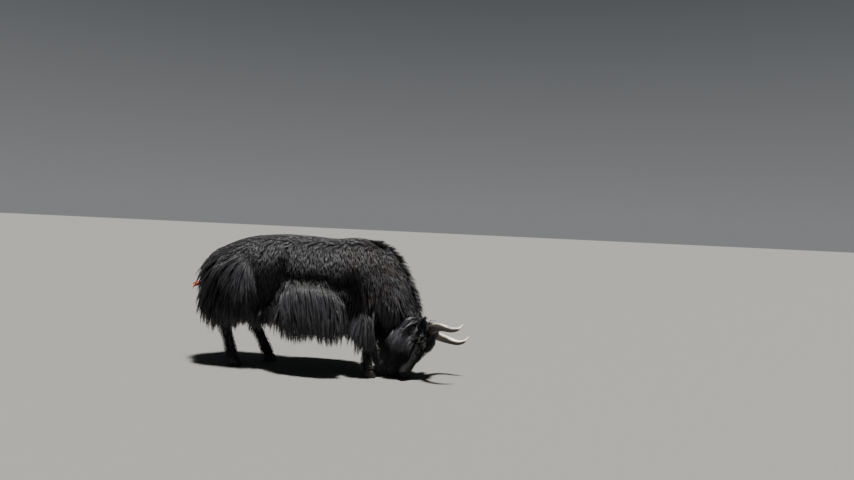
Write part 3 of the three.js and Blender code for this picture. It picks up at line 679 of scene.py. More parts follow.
def face_relief(points):
    """How far the skin of the head moves out along its normal, in millimetres."""
    places = folded(points)
    mouth = from_polyline(places, MOUTH_LINE)
    relief = LIP_RAISED * bell(mouth, LIP_WIDE) - (MOUTH_DEEP + LIP_RAISED) * bell(mouth, MOUTH_WIDE)
    turn = math.radians(NOSTRIL_TURN)
    x, y, z = (places - NOSTRIL_AT).T
    long = y * math.cos(turn) + z * math.sin(turn)
    wide = z * math.cos(turn) - y * math.sin(turn) + NOSTRIL_BEND * long**2
    nostril = np.hypot(long / NOSTRIL_SIZE[0], wide / NOSTRIL_SIZE[1])
    near = abs(x) < NOSTRIL_REACH
    relief -= near * NOSTRIL_DEEP * bell(nostril, 0.9) ** 2
    relief += near * NOSTRIL_RIM * bell(nostril - 1.9, 0.6)
    relief += BROW_RAISED * bell(np.linalg.norm(places - BROW_AT, axis=1), BROW_SIZE)
    return relief + CHEEK_RAISED * bell(np.linalg.norm(places - CHEEK_AT, axis=1), CHEEK_SIZE)


def body_relief(points):
    """How far the skin of the body moves out along its normal, in millimetres."""
    places = points / MM + FOOTPRINT
    places[:, 1] = abs(places[:, 1])
    return -sum(deep * bell(from_polyline(places, line), size) for line, size, deep in HOLLOWS)


def eye_axes(side):
    """Rows are the ways out of the eye, along its lids to the nose, and up, in the head's frame."""
    out = unit(np.array(EYE_AXIS) * (1, side, 1))
    along = np.array(LID_LINE, float)
    along = unit(along - out * (along @ out))
    return np.stack([out, along, side * np.cross(along, out)])


def smooth_step(x, low, high):
    """0 up to low, 1 from high on, and smooth between them."""
    share = np.clip((x - low) / (high - low), 0, 1)
    return share * share * (3 - 2 * share)


def shape_lids(points):
    """Points of the skin round the eyes, drawn over the eyeballs with a slit between the lids."""
    places = in_head(points)
    for side in SIDES.values():
        axes = eye_axes(side)
        centre = np.array(EYE_AT, float) * (1, side, 1)
        out, along, up = ((places - centre) @ axes.T).T
        away = np.hypot(along, up)
        near = (away < LID_REACH) & (out > -LID_BACK)
        dome = np.sqrt(np.maximum(LID_RADIUS**2 - away**2, 0.0))
        ball = np.sqrt(np.maximum(EYE_RADIUS**2 - away**2, 0.0))
        share = np.clip(1 - (along / LID_SLIT) ** 2, 0, 1)
        edge = np.abs(up) - np.where(up > 0, LID_HIGH, LID_LOW) * share**LID_CORNER
        edge = np.maximum(edge, np.abs(along) - LID_SLIT)
        lids = (out + dome + np.sqrt((out - dome) ** 2 + LID_BLEND**2)) / 2
        for high, place, width in LID_FOLDS:
            lids += high * bell(edge - place, width) * (away < LID_FOLDS_REACH)
        share = smooth_step(-away, -LID_REACH, -LID_FULL)
        whole = out * (1 - share) + lids * share
        shut = smooth_step(edge, *LID_SHUT)
        target = np.minimum(ball - LID_EDGE, whole) * (1 - shut) + whole * shut
        places = places + np.where(near, target - out, 0.0)[:, None] * axes[0]
    return moved(places * MM, HEAD)


def make_skin():
    """All forms as one closed skin, with its face, lids and hollows."""
    parts = [form.mesh(steps, sides) for forms, steps, sides in MESHED for form in forms]
    parts += [ellipsoid(*lip) for lip in LIPS]
    obj = new_object("skin", *joined(parts))
    remesh = obj.modifiers.new("whole", "REMESH")
    remesh.mode = "VOXEL"
    remesh.voxel_size = VOXEL
    smooth = obj.modifiers.new("soft", "SMOOTH")
    smooth.factor = 0.5
    smooth.iterations = SKIN_SMOOTHING
    apply_modifiers(obj)
    refine(obj.data, head_share, HEAD_CUTS, HEAD_SMOOTHING)
    refine(obj.data, near_eyes, LID_CUTS, EYE_SMOOTHING)
    points = coordinates(obj.data)
    relief = face_relief(points) * head_share(points) + body_relief(points)
    points += normals_of(obj.data) * (relief * MM)[:, None]
    obj.data.vertices.foreach_set("co", shape_lids(points).ravel())
    obj.data.update()
    set_attribute(obj.data, "bare", bareness(coordinates(obj.data)))
    return obj


def near_eyes(points):
    places = folded(points)
    return np.linalg.norm(places - EYE_AT, axis=1) < LID_REACH + 4


def bareness(points):
    """1 on the bare nose and lips, 0 where hair grows."""
    places = folded(points)
    nose = smooth_step(places[:, 0], 470, 492) * smooth_step(places[:, 2], -124, -112)
    mouth = (places[:, 0] > 360) * smooth_step(-from_polyline(places, MOUTH_LINE), -12, -6)
    return np.maximum(nose, mouth)


def head_share(points):
    """1 on the face, fading to 0 towards the neck."""
    places = in_head(points)
    near = np.hypot(places[:, 1], places[:, 2] - HEAD_MIDDLE) < HEAD_REACH
    return np.clip((places[:, 0] - HEAD_FROM) / HEAD_FADE, 0, 1) * near


def refine(mesh, share_at, cuts, rounds):
    """Divide the mesh more finely where share_at is over 0, and smooth it there."""
    work = bmesh.new()
    work.from_mesh(mesh)
    work.verts.ensure_lookup_table()
    share = share_at(coordinates(mesh))
    inner = {vert for vert in work.verts if share[vert.index] > 0}
    edges = [edge for edge in work.edges if edge.verts[0] in inner and edge.verts[1] in inner]
    bmesh.ops.subdivide_edges(work, edges=edges, cuts=cuts, use_grid_fill=True)
    points = np.array([vert.co for vert in work.verts])
    fine = [vert for vert, amount in zip(work.verts, share_at(points)) if amount > 0]
    for _ in range(rounds):
        bmesh.ops.smooth_vert(
            work, verts=fine, factor=0.5, use_axis_x=True, use_axis_y=True, use_axis_z=True
        )
    work.to_mesh(mesh)
    work.free()
    mesh.shade_smooth()


# Coat
TUFTS = 51000
GUIDE_SHARE = 0.1  # of the tufts, those that the others gather round
STEPS = 12  # straight lengths of a guide
SINK = 6  # how deep a tuft's root is under the skin
WIDEST = 0.495  # how far the coat's guides reach to each side, in metres
LOWEST = 0.012  # how far down they reach
PATCH = 0.003  # size of a tuft's patch in its colour map
NEAREST, NEAR_FADE = 6, 0.0006  # rows of the coat that a place follows, and how softly
# Against the lift of a hair: the lowest that it lies in the coat's depth, and how closely it
# clings there. Against its length in metres: how much of that holds, and how far it hangs.
LOWEST_RANK = ((0.05, 0.15), (0.88, 0.4))
CLING, CLING_HOLDS = ((0.05, 0.12), (0.5, 0)), ((0.09, 0.16), (1, 0))
HANG = ((0.05, 0.3), (0.05, 0.5))
SINK_LENGTH = 0.05  # shorter hair is rooted less deep
BEND_AT_ROOT, BEND_TO_TIP = 0.12, 0.16  # how much of its way a hair changes at each step
FRIZZ = 0.0016  # how far a tuft wanders at its tip
TWIST = 0.35  # how far it turns about itself
WIDTH_VARIES = (0.75, 1.25)
GUIDE_SHADE = 0.6  # how much of a tuft's shade is its guide's
# Kinds of tuft: the longest hair it is used for, places of its rings, half widths there as a
# share of its widest, widest half width, how closely tips gather, and the height of its ridge as
# a share of its half width
KINDS = [
    (24, (0, 0.5), (0.9, 0.85), 0.9, 0.15, 0.3),
    (40, (0, 0.35, 0.7), (0.8, 1, 0.62), 1.2, 0.2, 0.3),
    (125, (0, 0.35, 0.75), (0.75, 1, 0.6), 1.7, 0.15, 0.2),
    (250, (0, 0.22, 0.52, 0.8), (0.6, 1, 0.85, 0.5), 2.3, 0.5, 0.4),
    (1000, (0, 0.15, 0.4, 0.65, 0.86), (0.6, 1, 0.95, 0.75, 0.42), 2.7, 0.62, 0.42),
]
LOCK_KIND = (1000, (0, 0.15, 0.4, 0.65, 0.86), (0.4, 0.8, 1, 0.8, 0.45), 2.2, 0.6, 0.45)
# Tufts for an area, against the length of the hair
HAIRS_PER_AREA = [(0, 6), (20, 4.5), (35, 2.4), (60, 1.4), (90, 1.3), (200, 0.9), (330, 1.0)]


def anchors():
    """The coat's rows as places, leans, lengths, lifts and depths, for both sides."""
    middle = {"trunk": trunk, "neck": neck, "skull": skull, "throat": throat, "tail": tail}
    groups = [(form, COAT[name], SIDES.values()) for name, form in middle.items()]
    for name, (side, *_) in LEGS.items():
        hind = name.endswith("hind")
        groups.append((leg_coats[name], LEG_COATS["breech" if hind else "fore_coat"], [side]))
        groups.append((bones[name], LEG_COATS["bone"], [side]))
    found = []
    for form, rows, sides in groups:
        for side in sides:
            for t, degrees, lean, length, lift, *own_depth in rows:
                angle = math.radians(degrees if side == LEFT else 180 - degrees)
                place = form.at(np.array([t]), np.array([angle]), 0.5)[0]
                lean = unit(form.matrix[:3, :3] @ (np.array(lean, float) * (1, side, 1)))
                depth = own_depth[0] if own_depth else form.row(np.array([t]))[0, 6] / MM
                found.append((*place, *lean, length, lift, depth))
    for side, rows in FLANK_COATS.items():
        mirror = np.array((1, side, 1))
        for place, lean, *rest in rows:
            found.append((*spot(place * mirror), *unit(lean * mirror), *rest))
    return np.array(found)


def groom(points, table):
    """Lean, length, lift and depth of the coat at points, from the nearest few anchors."""
    found = np.empty((len(points), 6))
    for start in range(0, len(points), 4000):
        part = points[start : start + 4000]
        away = ((part[:, None] - table[None, :, :3]) ** 2).sum(-1)
        near = np.argpartition(away, NEAREST, axis=1)[:, :NEAREST]
        weight = 1 / (np.take_along_axis(away, near, 1) + NEAR_FADE) ** 1.5
        weight /= weight.sum(1, keepdims=True)
        found[start : start + 4000] = (table[near, 3:] * weight[..., None]).sum(1)
    found[:, :3] = unit(found[:, :3])
    return found[:, :3], found[:, 3] * MM, found[:, 4], found[:, 5] * MM


def sample_skin(mesh, count, table):
    """Roots and normals of the tufts, spread over the skin by the length of the hair."""
    mesh.calc_loop_triangles()
    corners = np.empty(len(mesh.loop_triangles) * 3, int)
    mesh.loop_triangles.foreach_get("vertices", corners)
    corners = corners.reshape(-1, 3)
    points, normals = coordinates(mesh), normals_of(mesh)
    a, b, c = (points[corners[:, k]] for k in range(3))
    area = np.linalg.norm(np.cross(b - a, c - a), axis=1) / 2
    middle = (a + b + c) / 3
    lengths = groom(middle, table)[1] / MM
    hairs = np.interp(lengths, *zip(*HAIRS_PER_AREA)) * area * hairy(middle)
    chosen = rng.choice(len(corners), count, p=hairs / hairs.sum())
    share = rng.dirichlet((1, 1, 1), count)[..., None]
    roots = (points[corners[chosen]] * share).sum(1)
    return roots, unit((normals[corners[chosen]] * share).sum(1))


def hairy(points):
    """0 where no hair grows: nose, lips, lids and the soles of the feet. 1 elsewhere."""
    places = folded(points)
    nose = (places[:, 0] > 488) & (places[:, 2] > -118)
    eye = np.linalg.norm(places - (np.array(EYE_AT) + (0, 15, 0)), axis=1) < 22
    inside = (places[:, 0] > 380) & (from_polyline(places, MOUTH_LINE) < 7)
    sole = points[:, 2] < 0.05
    return ~(nose | eye | inside | sole)


def keep_within(points):
    """Move points in to the widest that the coat may reach, and up from the ground."""
    points[..., 1] = np.clip(points[..., 1], -WIDEST, WIDEST)
    points[..., 2] = np.maximum(points[..., 2], LOWEST)


def comb(roots, normals, lean, length, lift, depth, tree):
    """Paths of the guide hairs, and the way out of the coat at each step.

    A hair starts along its lean, falls as it grows, and lies as high in the coat's depth as its
    rank. Hair that is lifted ranks more widely, and short flat hair clings at its rank."""
    count = len(roots)
    lie = unit(lean - normals * dot(lean, normals))
    way = unit(lie + normals * lift[:, None])
    lowest = np.interp(lift, *LOWEST_RANK)
    rank = lowest + (1 - lowest) * rng.uniform(0, 1, count)
    cling = np.interp(lift, *CLING) * np.interp(length, *CLING_HOLDS)
    hang = np.interp(length, *HANG)[:, None]
    pull = unit(lean * (1 - hang) + DOWN * hang)
    point = roots - normals * SINK * MM * np.minimum(1, length[:, None] / SINK_LENGTH)
    paths, outs = [point], [normals]
    for step in range(STEPS):
        bend = BEND_AT_ROOT + BEND_TO_TIP * step / STEPS
        way = unit(way * (1 - bend) + pull * bend)
        point = point + way * (length / STEPS)[:, None]
        keep_within(point)
        need = depth * rank * np.minimum(1, (2 + 4 * lift) * (step + 1) / STEPS)
        out = np.empty((count, 3))
        for k in range(count):
            place, normal, _, _ = tree.find_nearest(point[k])
            gap = float(np.dot(point[k] - place, normal))
            if gap < need[k]:
                point[k] += np.array(normal) * (need[k] - gap)
            else:
                point[k] -= np.array(normal) * (gap - need[k]) * cling[k]
            out[k] = normal
        way = unit(point - paths[-1])
        paths.append(point)
        outs.append(out)
    return np.stack(paths, 1), np.stack(outs, 1)


def along_path(paths, share):
    """Points of paths at shares (N, K) of their length."""
    u = np.clip(share, 0, 1) * (paths.shape[1] - 1)
    i = np.minimum(u.astype(int), paths.shape[1] - 2)
    f = (u - i)[..., None]
    rows = np.arange(len(paths))[:, None]
    return paths[rows, i] * (1 - f) + paths[rows, i + 1] * f


def tuft_faces(rings):
    """Triangles of one tuft: three sides through its rings, a closed root and a tip."""
    faces = [(0, 2, 1)]
    for ring in range(rings - 1):
        for k in range(3):
            a, b = 3 * ring + k, 3 * ring + (k + 1) % 3
            faces += [(a, b, a + 3), (b, b + 3, a + 3)]
    last, tip = 3 * (rings - 1), 3 * rings
    return np.array(faces + [(last + k, last + (k + 1) % 3, tip) for k in range(3)])


def grow_tufts(kind, offset, guides, outs, length_share, place_on_map, shade):
    """Tufts of one kind, each along a guide and away from it by offset.

    Gives vertices, faces, and each vertex's place on the map, share of the length and shade."""
    _, places, widths, widest, gather, ridge = kind
    count = len(offset)
    share = np.array((*places, 1.0))[None, :] * length_share[:, None]
    line = along_path(guides, share)
    spread = 1 - gather * np.minimum(share, 1) ** 1.2
    sway = rng.normal(0, 1, (count, 3))[:, None]
    wave = sway * np.sin(share * rng.uniform(4, 9, (count, 1)) + 1)[..., None]
    line = line + offset[:, None] * spread[..., None] + wave * FRIZZ * share[..., None]
    out = along_path(outs, share)
    along = unit(np.gradient(line, axis=1))
    out = unit(out - along * dot(out, along))
    side = np.cross(out, along)
    twist = rng.normal(0, TWIST, count)[:, None, None]
    c, s = np.cos(twist), np.sin(twist)
    side, out = side * c + out * s, out * c - side * s
    half = (np.array(widths) * widest * MM)[None, :, None]
    half = half * rng.uniform(*WIDTH_VARIES, (count, 1, 1))
    middle = line[:, :-1]
    side, out = side[:, :-1] * half, out[:, :-1] * half * 2 * ridge
    rings = np.stack([middle + side, middle + out, middle - side], 2)
    points = np.concatenate([rings.reshape(count, -1, 3), line[:, -1:]], 1)
    points[..., 2] = np.maximum(points[..., 2], LOWEST / 4)
    per_tuft = points.shape[1]
    faces = tuft_faces(len(places))[None] + (np.arange(count) * per_tuft)[:, None, None]
    far = np.append(np.repeat(places, 3), 1.0)
    across = np.append(np.tile((-0.5, 0, 0.5), len(places)), 0)
    spots = place_on_map[:, None] + np.stack([across, far - 0.5], -1)[None] * PATCH
    shade = np.repeat(GUIDE_SHADE * shade + rng.uniform(0, 1 - GUIDE_SHADE, count), per_tuft)
    points, faces, spots = points.reshape(-1, 3), faces.reshape(-1, 3), spots.reshape(-1, 2)
    return points, faces, spots, np.tile(far, count), shade


def hair_object(name, points, faces, spots, far, shade):
    """An object of triangles, with what grow_tufts gives for its vertices."""
    mesh = bpy.data.meshes.new(name)
    mesh.vertices.add(len(points))
    mesh.vertices.foreach_set("co", points.ravel())
    mesh.loops.add(faces.size)
    mesh.loops.foreach_set("vertex_index", faces.ravel())
    mesh.polygons.add(len(faces))
    mesh.polygons.foreach_set("loop_start", np.arange(len(faces)) * 3)
    mesh.update(calc_edges=True)
    mesh.shade_smooth()
    layer = mesh.uv_layers.new(name="OFBake")
    layer.data.foreach_set("uv", spots[faces.ravel()].ravel())
    set_attribute(mesh, "along", far)
    set_attribute(mesh, "shade", shade)
    return linked(name, mesh)


UNWRAPPED = [form for forms, _, _ in MESHED for form in forms]
CHARTS_ACROSS = 4
CELL_EDGE = 0.04


def unwrap(points):
    """A place on the map for each point: each form has a cell, round it and along it."""
    t, turn = np.linspace(0, 1, 24), np.arange(24) * math.pi / 12
    grid = np.array([(a, b) for a in t for b in turn])
    tree = KDTree(len(UNWRAPPED) * len(grid))
    for index, form in enumerate(UNWRAPPED):
        for k, place in enumerate(form.at(grid[:, 0], grid[:, 1])):
            tree.insert(place, index * len(grid) + k)
    tree.balance()
    found = np.empty((len(points), 2))
    for k, point in enumerate(points):
        near = tree.find_n(point, 3)
        index = near[0][1] // len(grid)
        same = [(i % len(grid), 1 / (d + 1e-4)) for _, i, d in near if i // len(grid) == index]
        i0 = same[0][0]
        turns = [(grid[i, 1] - grid[i0, 1] + math.pi) % (2 * math.pi) - math.pi for i, _ in same]
        total = sum(w for _, w in same)
        along = sum(grid[i, 0] * w for i, w in same) / total
        round_ = (grid[i0, 1] + sum(a * w for a, (_, w) in zip(turns, same)) / total) / (2 * math.pi)
        row, column = divmod(index, CHARTS_ACROSS)
        cell = np.array((round_ % 1, along)) * (1 - 2 * CELL_EDGE) + CELL_EDGE
        found[k] = (cell + (column, row)) / CHARTS_ACROSS
    return found


# The coat's pieces: from x, to x and below z. A later row goes over the earlier ones, and what
# is left is the barrel. The head's piece begins behind the poll.
REGIONS = {
    "rump": (-math.inf, -430, math.inf),
    "shoulder": (430, math.inf, math.inf),
    "neck": (800, math.inf, math.inf),
    "skirt": (-math.inf, 430, 640),
    "thigh": (-math.inf, -430, 700),
    "foreleg": (430, 900, 640),
    "tail": (-math.inf, -1050, math.inf),
}
HEAD_PIECE_FROM = -30


def region_of(roots):
    """A name for the piece of coat that each root belongs to."""
    names = np.full(len(roots), "barrel", dtype=object)
    x, y, z = (roots / MM + FOOTPRINT).T
    for name, (low, high, below) in REGIONS.items():
        names[(x > low) & (x < high) & (z < below)] = name
    down, wide, up = in_head(roots).T
    names[(down > HEAD_PIECE_FROM) & (np.hypot(wide, up - HEAD_MIDDLE) < HEAD_REACH)] = "head"
    side = np.where(y > 0, "left", "right")
    return np.array([f"coat_{name}_{where}" for name, where in zip(names, side)])


def sprout(roots, outs, leans, lengths, droop, kind, on_map, shade):
    """Tufts that stand out by themselves, each bending down by droop times its length."""
    step = np.linspace(0, 1, STEPS + 1)[None, :, None]
    fall = droop[:, None, None] * DOWN * step**2
    paths = roots[:, None] + (leans[:, None] * step + fall) * lengths[:, None, None]
    paths -= (outs * SINK * MM / 4)[:, None]
    count = len(roots)
    ways_out = np.repeat(outs[:, None], STEPS + 1, 1)
    return grow_tufts(kind, np.zeros((count, 3)), paths, ways_out, np.ones(count), on_map, shade)


# Long locks that fall over the coat: the sides they are on, how many they are, the tufts of each
# and how far its roots spread, how far down the path the lowest begin, and from how dark to how
# light they are. Between these bounds a lock's tone varies at random, and the bounds are partly
# painted light and shade: the elbow's and beard's locks are darkened as if in shade, the cheek's,
# nape's and hip's lightened as if in sunlight. Then their rows, each a path of four places, with y
# as how far out a place is on its side. A lock between two rows follows both. The forelock's are in
# the head's frame.
LOCKS = {
    "clump": (
        (RIGHT,),
        (300, 10, 6),
        0.6,
        (0.1, 1),
        [
            [(-120, 360, 770), (-90, 435, 800), (-75, 465, 600), (-30, 430, 410)],
            [(-60, 362, 820), (-35, 450, 860), (0, 488, 580), (50, 445, 365)],
            [(30, 362, 862), (55, 462, 905), (105, 500, 590), (170, 455, 345)],
            [(130, 362, 882), (165, 468, 925), (240, 505, 595), (270, 455, 335)],
            [(225, 360, 880), (285, 468, 920), (365, 505, 590), (370, 450, 335)],
            [(325, 350, 858), (410, 460, 880), (475, 495, 570), (450, 435, 340)],
            [(400, 338, 805), (500, 440, 805), (565, 470, 520), (505, 405, 350)],
            [(445, 322, 725), (560, 405, 700), (605, 415, 490), (545, 370, 370)],
        ],
    ),
    "hip": (
        (LEFT, RIGHT),
        (110, 10, 6),
        0.4,
        (0.35, 1),
        [
            [(-600, 300, 1160), (-690, 345, 1110), (-790, 395, 1010), (-840, 375, 900)],
            [(-570, 305, 1160), (-640, 360, 1100), (-740, 415, 960), (-800, 385, 800)],
            [(-530, 315, 1120), (-570, 380, 1060), (-640, 435, 880), (-700, 405, 640)],
            [(-510, 320, 1090), (-530, 385, 1030), (-560, 435, 820), (-560, 405, 600)],
            [(-490, 325, 1080), (-490, 385, 1020), (-470, 430, 820), (-430, 400, 590)],
            [(-465, 330, 1070), (-440, 380, 1010), (-390, 425, 850), (-310, 385, 600)],
        ],
    ),
    "elbow": (
        (LEFT, RIGHT),
        (90, 10, 6),
        0.5,
        (0, 0.45),
        [
            [(740, 225, 640), (710, 270, 600), (650, 310, 480), (620, 280, 250)],
            [(770, 225, 650), (745, 280, 605), (700, 320, 450), (670, 280, 220)],
            [(790, 225, 650), (785, 285, 600), (750, 320, 440), (730, 280, 215)],
            [(810, 220, 645), (820, 280, 590), (810, 305, 430), (800, 275, 225)],
            [(805, 215, 628), (823, 265, 575), (826, 290, 420), (824, 260, 245)],
        ],
    ),
    "cheek": (
        (LEFT, RIGHT),
        (100, 8, 6),
        0.6,
        (0.5, 1),
        [
            [(1000, 160, 470), (960, 215, 470), (930, 230, 380), (940, 205, 290)],
            [(1050, 155, 490), (1030, 225, 480), (980, 240, 370), (990, 205, 250)],
            [(1100, 145, 480), (1110, 220, 480), (1080, 240, 360), (1060, 195, 230)],
            [(1140, 130, 465), (1170, 195, 460), (1150, 215, 360), (1120, 190, 245)],
        ],
    ),
    "nape": (
        (LEFT, RIGHT),
        (9, 12, 4),
        0.05,
        (0.7, 1),
        [
            [(1230, 80, 625), (1210, 190, 660), (1100, 240, 590), (960, 240, 465)],
            [(1215, 85, 560), (1200, 190, 580), (1110, 240, 515), (1010, 240, 410)],
        ],
    ),
    "beard": (
        (LEFT, RIGHT),
        (120, 14, 18),
        0.6,
        (0, 0.25),
        [
            [(838, 80, 468), (792, 118, 338), (808, 104, 190), (833, 90, 10)],
            [(872, 90, 425), (836, 120, 322), (822, 120, 165), (830, 110, 0)],
            [(930, 80, 400), (910, 115, 300), (880, 115, 120), (880, 100, -40)],
            [(980, 60, 370), (970, 100, 280), (950, 100, 100), (945, 85, -60)],
            [(1030, 50, 340), (1030, 85, 270), (1020, 85, 90), (1015, 70, -60)],
            [(1080, 50, 310), (1090, 75, 250), (1090, 70, 90), (1080, 60, -50)],
        ],
    ),
    "forelock": (
        (LEFT, RIGHT),
        (80, 10, 7),
        0.35,
        (0, 0.5),
        [
            [(-60, 5, -30), (-40, 12, 30), (110, 14, 76), (250, 12, 20)],
            [(-50, 35, -30), (-35, 42, 22), (110, 50, 64), (240, 42, 8)],
            [(-50, 70, -50), (-35, 85, -5), (50, 92, 14), (140, 85, -15)],
            [(-75, 30, -60), (-85, 38, -25), (-50, 42, 30), (70, 42, 58)],
            [(-85, 10, -80), (-100, 15, -40), (-60, 20, 28), (60, 20, 60)],
        ],
    ),
}
WAVE, HEAD_WAVE = 8, 3.2  # how far a lock's path wanders, in millimetres
STRAY = (2, 2, 2, 2.5)  # how much more its four places do, by chance
STRAY_LIMIT = 1.4
LOCK_DEEP = 28  # how much deeper the deepest lock lies than the path


def make_locks(name, side, locks, tree, made_of, on_head=False):
    """A piece of coat of locks that start in the skin and follow their rows' paths."""
    _, (number, tufts_each, spread), lowest, light, rows = locks
    rows = np.array(rows, float) * (1, side, 1)
    rows = moved(rows * MM, HEAD) if on_head else spot(rows)
    place = rng.uniform(0, len(rows) - 1, number)
    i = place.astype(int)
    f = (place - i)[:, None, None]
    ends = rows[i] * (1 - f) + rows[i + 1] * f
    wander = (HEAD_WAVE if on_head else WAVE) * MM
    strays = np.clip(rng.normal(0, 1, ends.shape), -STRAY_LIMIT, STRAY_LIMIT)
    ends += wander * strays * np.array(STRAY)[:, None]
    start = (lowest * rng.uniform(0, 1, number) ** 1.3)[:, None, None]
    v = np.linspace(0, 1, STEPS + 1)[None, :, None]
    u = start + (1 - start) * v
    a, b, c, d = (ends[:, None, k] for k in range(4))
    paths = a * (1 - u) ** 3 + 3 * b * (1 - u) ** 2 * u + 3 * c * (1 - u) * u**2 + d * u**3
    turn = rng.uniform(0, 2 * math.pi, (number, 1, 3))
    long = np.linalg.norm(paths[:, -1] - paths[:, 0], axis=-1)[:, None, None]
    waves = rng.uniform(22, 40, (number, 1, 1)) * long * v
    paths += wander * np.minimum(1, 2 * v) * np.sin(waves + turn)
    deep = rng.uniform(0, LOCK_DEEP, number) * MM
    outs = np.empty_like(paths)
    for k in range(number):
        for step in range(STEPS + 1):
            found, normal, _, _ = tree.find_nearest(paths[k, step])
            outs[k, step] = normal
            if step == 0:
                under = np.array(found) - np.array(normal) * SINK * MM - paths[k, 0]
        rise = (1 - v[0]) ** 3
        paths[k] += under * rise - outs[k] * deep[k] * (1 - rise)
    keep_within(paths)
    pick = np.repeat(np.arange(number), tufts_each)
    offset = rng.normal(0, spread * MM, (len(pick), 3))
    offset -= outs[pick, 0] * dot(offset, outs[pick, 0])
    roots = paths[pick, 0] + offset
    share = rng.uniform(0.7, 1, len(pick)) * rng.uniform(0.85, 1, number)[pick]
    # Each lock's shade, at random between its set's bounds, which are partly painted light and shade.
    shade = rng.uniform(*light, number)[pick]
    tufts = grow_tufts(LOCK_KIND, offset, paths[pick], outs[pick], share, unwrap(roots), shade)
    coat_piece(f"coat_{name}_{'left' if side == LEFT else 'right'}", [tufts], made_of)


CREST_LINE = [
    (640, 0, 1345),
    (740, 0, 1310),
    (850, 0, 1240),
    (950, 0, 1130),
    (1030, 0, 1000),
    (1090, 0, 860),
    (1140, 0, 740),
    (1195, 0, 600),
]
CREST_TUFTS, CREST_HALF, CREST_HAIR = 3200, 18, (75, 120)
CREST_CLUMPS, CREST_CLUMP_HALF = 260, 9
# Its lift against the place along it, how much it leans forward, and how much a clump gathers
CREST_LIFT, CREST_FORWARD, CREST_GATHER = ((0, 0.15, 1), (0.4, 1.0, 1.1)), 0.75, 0.7


def make_crest(tree, made_of):
    """A fringe along the neck, in clumps that lean forward along it."""
    line = spot(CREST_LINE)
    t = np.sort(rng.uniform(0, 1, CREST_CLUMPS))
    place = t * (len(line) - 1)
    i = np.minimum(place.astype(int), len(line) - 2)
    f = (place - i)[:, None]
    starts = line[i] * (1 - f) + line[i + 1] * f
    starts[:, 1] += rng.normal(0, CREST_HALF * MM, CREST_CLUMPS)
    clump_way = unit(line[i + 1] - line[i]) + rng.normal(0, 0.16, starts.shape)
    lift = np.interp(t, *CREST_LIFT)[:, None]
    thick = np.minimum(1, np.minimum(t, 1 - t) * 8 + 0.4)
    clump_length = rng.uniform(*CREST_HAIR, CREST_CLUMPS) * MM * thick
    pick = rng.integers(0, CREST_CLUMPS, CREST_TUFTS)
    roots = starts[pick] + rng.normal(0, CREST_CLUMP_HALF * MM, (CREST_TUFTS, 3))
    outs = np.empty_like(roots)
    for k, root in enumerate(roots):
        found, normal, _, _ = tree.find_nearest(root)
        roots[k], outs[k] = found, normal
    lengths = clump_length[pick] * rng.uniform(0.7, 1, CREST_TUFTS)
    leans = outs * lift[pick] + clump_way[pick] * CREST_FORWARD
    leans = unit(leans + (starts[pick] - roots) / lengths[:, None] * CREST_GATHER)
    droop = rng.uniform(0.1, 0.3, CREST_TUFTS)
    # Painted shade: the crest's clumps are darkened as if the fringe stood in shade.
    shade = rng.uniform(0, 0.15, CREST_CLUMPS)[pick]
    tufts = sprout(roots, outs, leans, lengths, droop, KINDS[2], unwrap(roots), shade)
    coat_piece("coat_crest", [tufts], made_of)


def mottle(points):
    """From 0 to 1, in soft patches about a hand wide."""
    x, y, z = points.T
    bent = x + 0.05 * np.sin(19 * z + 7 * y)
    waves = np.sin(31 * bent + 13 * z + 3) + np.sin(27 * z - 17 * bent + 9 * y)
    return smooth_step(waves + np.sin(53 * z + 41 * x), -1.6, 1.6)


def coat_piece(name, parts, made_of):
    """One object of several lots of tufts."""
    start, faces = 0, []
    for part in parts:
        faces.append(part[1] + start)
        start += len(part[0])
    points, spots, far, shade = (np.concatenate([part[i] for part in parts]) for i in (0, 2, 3, 4))
    piece = hair_object(name, points, np.concatenate(faces), spots, far, shade)
    piece.data.materials.append(made_of)
    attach(piece, "root")


LEAN_VARIES = 0.045
# Painted shade: the head's hair, and the ears' too, is darker than the body's, as if the face stood
# in shadow.
HEAD_PAINTED_SHADE = 0.2  # how light the head's hair is, beside the body's


